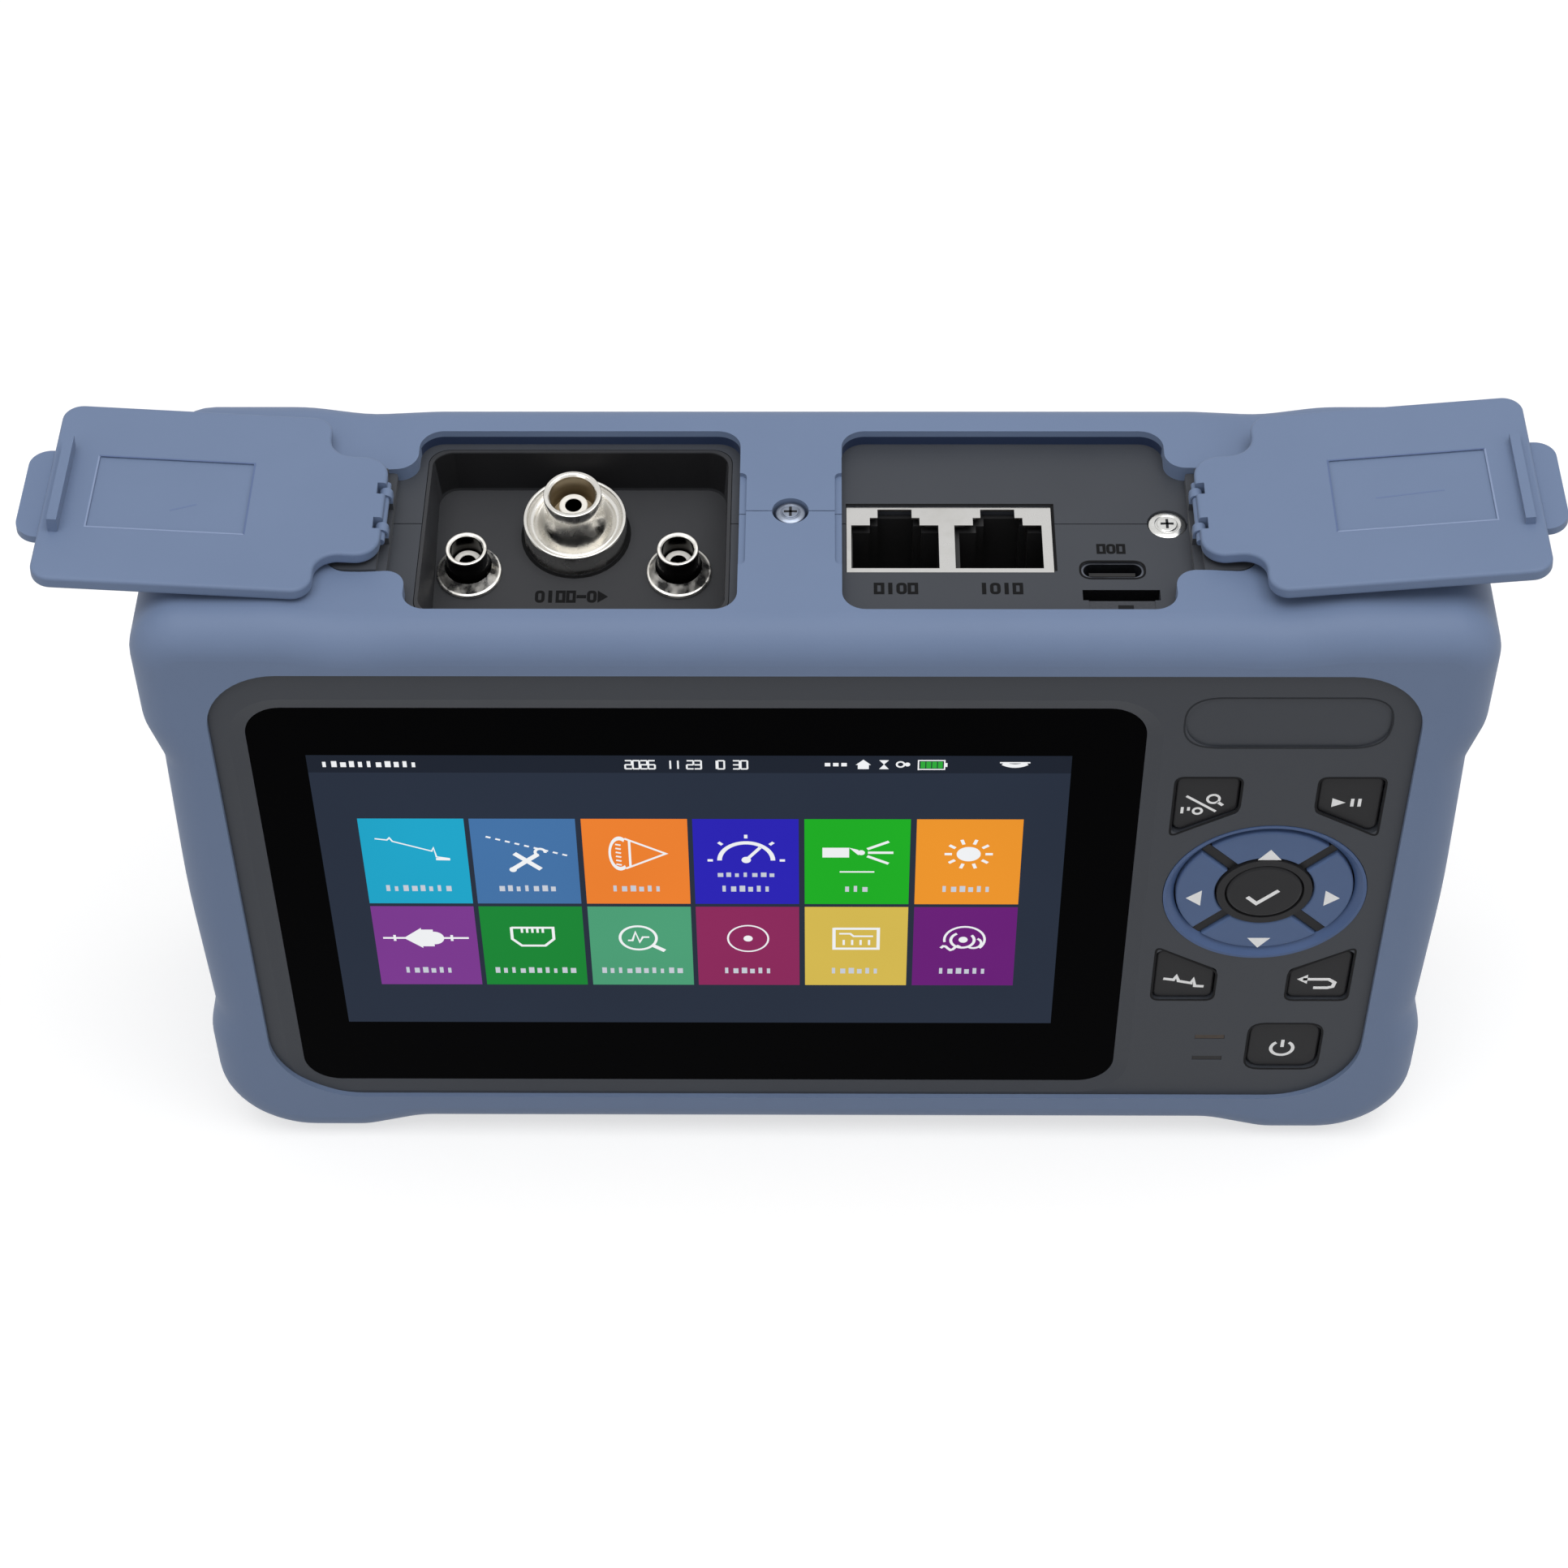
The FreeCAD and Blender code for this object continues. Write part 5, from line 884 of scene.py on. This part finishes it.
def makeCardSlot(look):
    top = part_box("rear_case")[1][2] / mm
    socket = corners("card_socket")
    x, front = (socket[0][0] + socket[1][0]) / 2, socket[0][1] - 0.05
    back = front + look["mouth"]
    long, wide, deep = look["scoop"]
    fall, thick = look["fall"], deep - look["fall"]
    run = math.hypot(wide, fall)
    addDrawing("card_slot_shade", [(look["shade"], 0.03, [block(x - look["half"], top - look["deep"],
                                                               x + look["half"], top - 0.04)])],
               plane((0, back, 0), (1, 0, 0), (0, 0, 1)), "panelPaint", "case")
    # the dark patch on the pad is painted shade in the scoop
    addDrawing("card_slot_ramp", [(look["ramp"], thick, [block(-long / 2, 0.02, long / 2, run)]),
                                  (look["patch"], thick + 0.02, [block(-0.6, 1.0, 1.6, 2.1)])],
               plane((x, front - wide, top - thick), (1, 0, 0), (0, wide / run, -fall / run)), "panelPaint",
               "case")


makeCardSlot(cardSlot)
print("card slot shaded")

# Screw heads that show on the top edge: a low dome with a ring driven into it, and a dark cross drawn on it as
# painted shade where a driven cross would be.
screwHeads = {
    "top": {"node": "top_screw", "finish": "dullSteel", "slot": "screw_steel", "radius": 2.25, "lift": 0.85},
    "panel": {"node": "panel_screw", "finish": "screwSteel", "slot": "screw_steel", "radius": 2.85, "lift": 0.05},
}

# The shaft's radius and how far under the top it ends. The dome is (share of the rim's radius, height from the
# top, corner radius), from the rim's underside over the driven ring to the middle.
shaft, shaftDown = 1.3, 1.6
dome = ((1.0, -1.45, 0.1), (1.0, -0.32, 0.3), (0.66, 0.0, 0.5), (0.60, -0.18, 0.05), (0.54, -0.18, 0.05),
        (0.50, 0.02, 0.05), (0.0, 0.06, 0.0))


def makeScrewHeads():
    for name, look in screwHeads.items():
        low, high = corners(look["node"])
        x, y = (low[:2] + high[:2]) / 2
        rim, top = look["radius"], high[2] + look["lift"]
        profile = ((0.0, low[2], 0.0), (shaft, low[2], 0.2), (shaft, top - shaftDown, 0.1)) \
            + tuple((rim * share, top + up, corner) for share, up, corner in dome)
        mount = {"axis": (0, 0, 1), "pos_m": (x * mm, y * mm, 0.0)}
        head = turnedPiece(name + "_screw_head", profile, mount, 0.0, look["finish"], steps=72,
                           weld=True)
        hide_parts(look["node"])
        # the cross is not cut: it is drawn dark on the dome, painted shade of a driven cross
        cross = [block(-0.95, -0.2, 0.95, 0.2), block(-0.2, -0.95, 0.2, 0.95)]
        addDrawing(name + "_screw_cross_shade", [("#2a2b2e", 0.02, cross)],
                   plane((x, y, top + 0.05), (1, 0, 0), (0, 1, 0)), "panelPaint", "case")


makeScrewHeads()
print("screw heads turned")

# The floor, the light round the object and the lamps.
studio = {"floor": "#b6b6b6", "around": 0.50, "seen": 1.0, "glow": 0.62,
          "lamps": (("top", (0.05, -0.20, 1.30), (1.3, 0.9), 10.0), ("front", (-0.75, -1.05, 0.75), (0.8, 0.8), 1.6),
                    ("side", (1.0, -0.55, 0.60), (0.6, 0.8), 1.0))}


def seenDirectly(tree, path):
    # 1 where the eye sees a surface, straight or in a reflection
    return addNode(tree, "Math", {"operation": "MAXIMUM"}, {0: (path, "Is Camera Ray"), 1: (path, "Is Glossy Ray")})


def makeStudio(look):
    world = bpy.data.worlds.new("studio")
    bpy.context.scene.world = world
    world.use_nodes = True
    tree = world.node_tree
    tree.nodes.clear()
    path = addNode(tree, "LightPath")
    seen = seenDirectly(tree, path)
    seen = addNode(tree, "Math", {"operation": "MAXIMUM"}, {0: (seen, "Value"), 1: (path, "Is Transmission Ray")})
    level = addNode(tree, "MapRange", {}, {"Value": (seen, "Value"), "To Min": look["around"],
                                           "To Max": look["seen"]})
    sky = addNode(tree, "Background", {}, {"Color": (1.0, 1.0, 1.0, 1.0), "Strength": (level, "Result")})
    addNode(tree, "OutputWorld", {}, {"Surface": (sky, "Background")})

    material, tree = emptyMaterial("floorPaper")
    seen = seenDirectly(tree, addNode(tree, "LightPath"))
    glow = addNode(tree, "Math", {"operation": "MULTIPLY"}, {0: (seen, "Value"), 1: look["glow"]})
    shader = addNode(tree, "BsdfPrincipled", {}, {
        "Base Color": linear(look["floor"]), "Roughness": 0.9, "Specular IOR Level": 0.0,
        "Emission Color": (1.0, 1.0, 1.0, 1.0), "Emission Strength": (glow, "Value")})
    addNode(tree, "OutputMaterial", {}, {"Surface": (shader, "BSDF")})
    mesh = bpy.data.meshes.new("floor")
    reach = 8.0
    low = -0.00015
    mesh.from_pydata([(-reach, -reach, low), (reach, -reach, low), (reach, reach, low), (-reach, reach, low)],
                     [], [(0, 1, 2, 3)])
    mesh.materials.append(material)
    floor = bpy.data.objects.new("floor", mesh)
    bpy.context.scene.collection.objects.link(floor)

    for name, place, size, power in look["lamps"]:
        lamp = bpy.data.lights.new(name, "AREA")
        lamp.shape = "RECTANGLE"
        lamp.size, lamp.size_y = size
        lamp.energy = power
        stand = bpy.data.objects.new(name + "Lamp", lamp)
        bpy.context.scene.collection.objects.link(stand)
        aim = Matrix.Translation(place).to_translation()
        stand.matrix_world = Matrix.Translation(place) @ aim.to_track_quat("Z", "Y").to_matrix().to_4x4()
    bpy.context.scene.view_settings.view_transform = "Standard"


makeStudio(studio)
print("studio set")
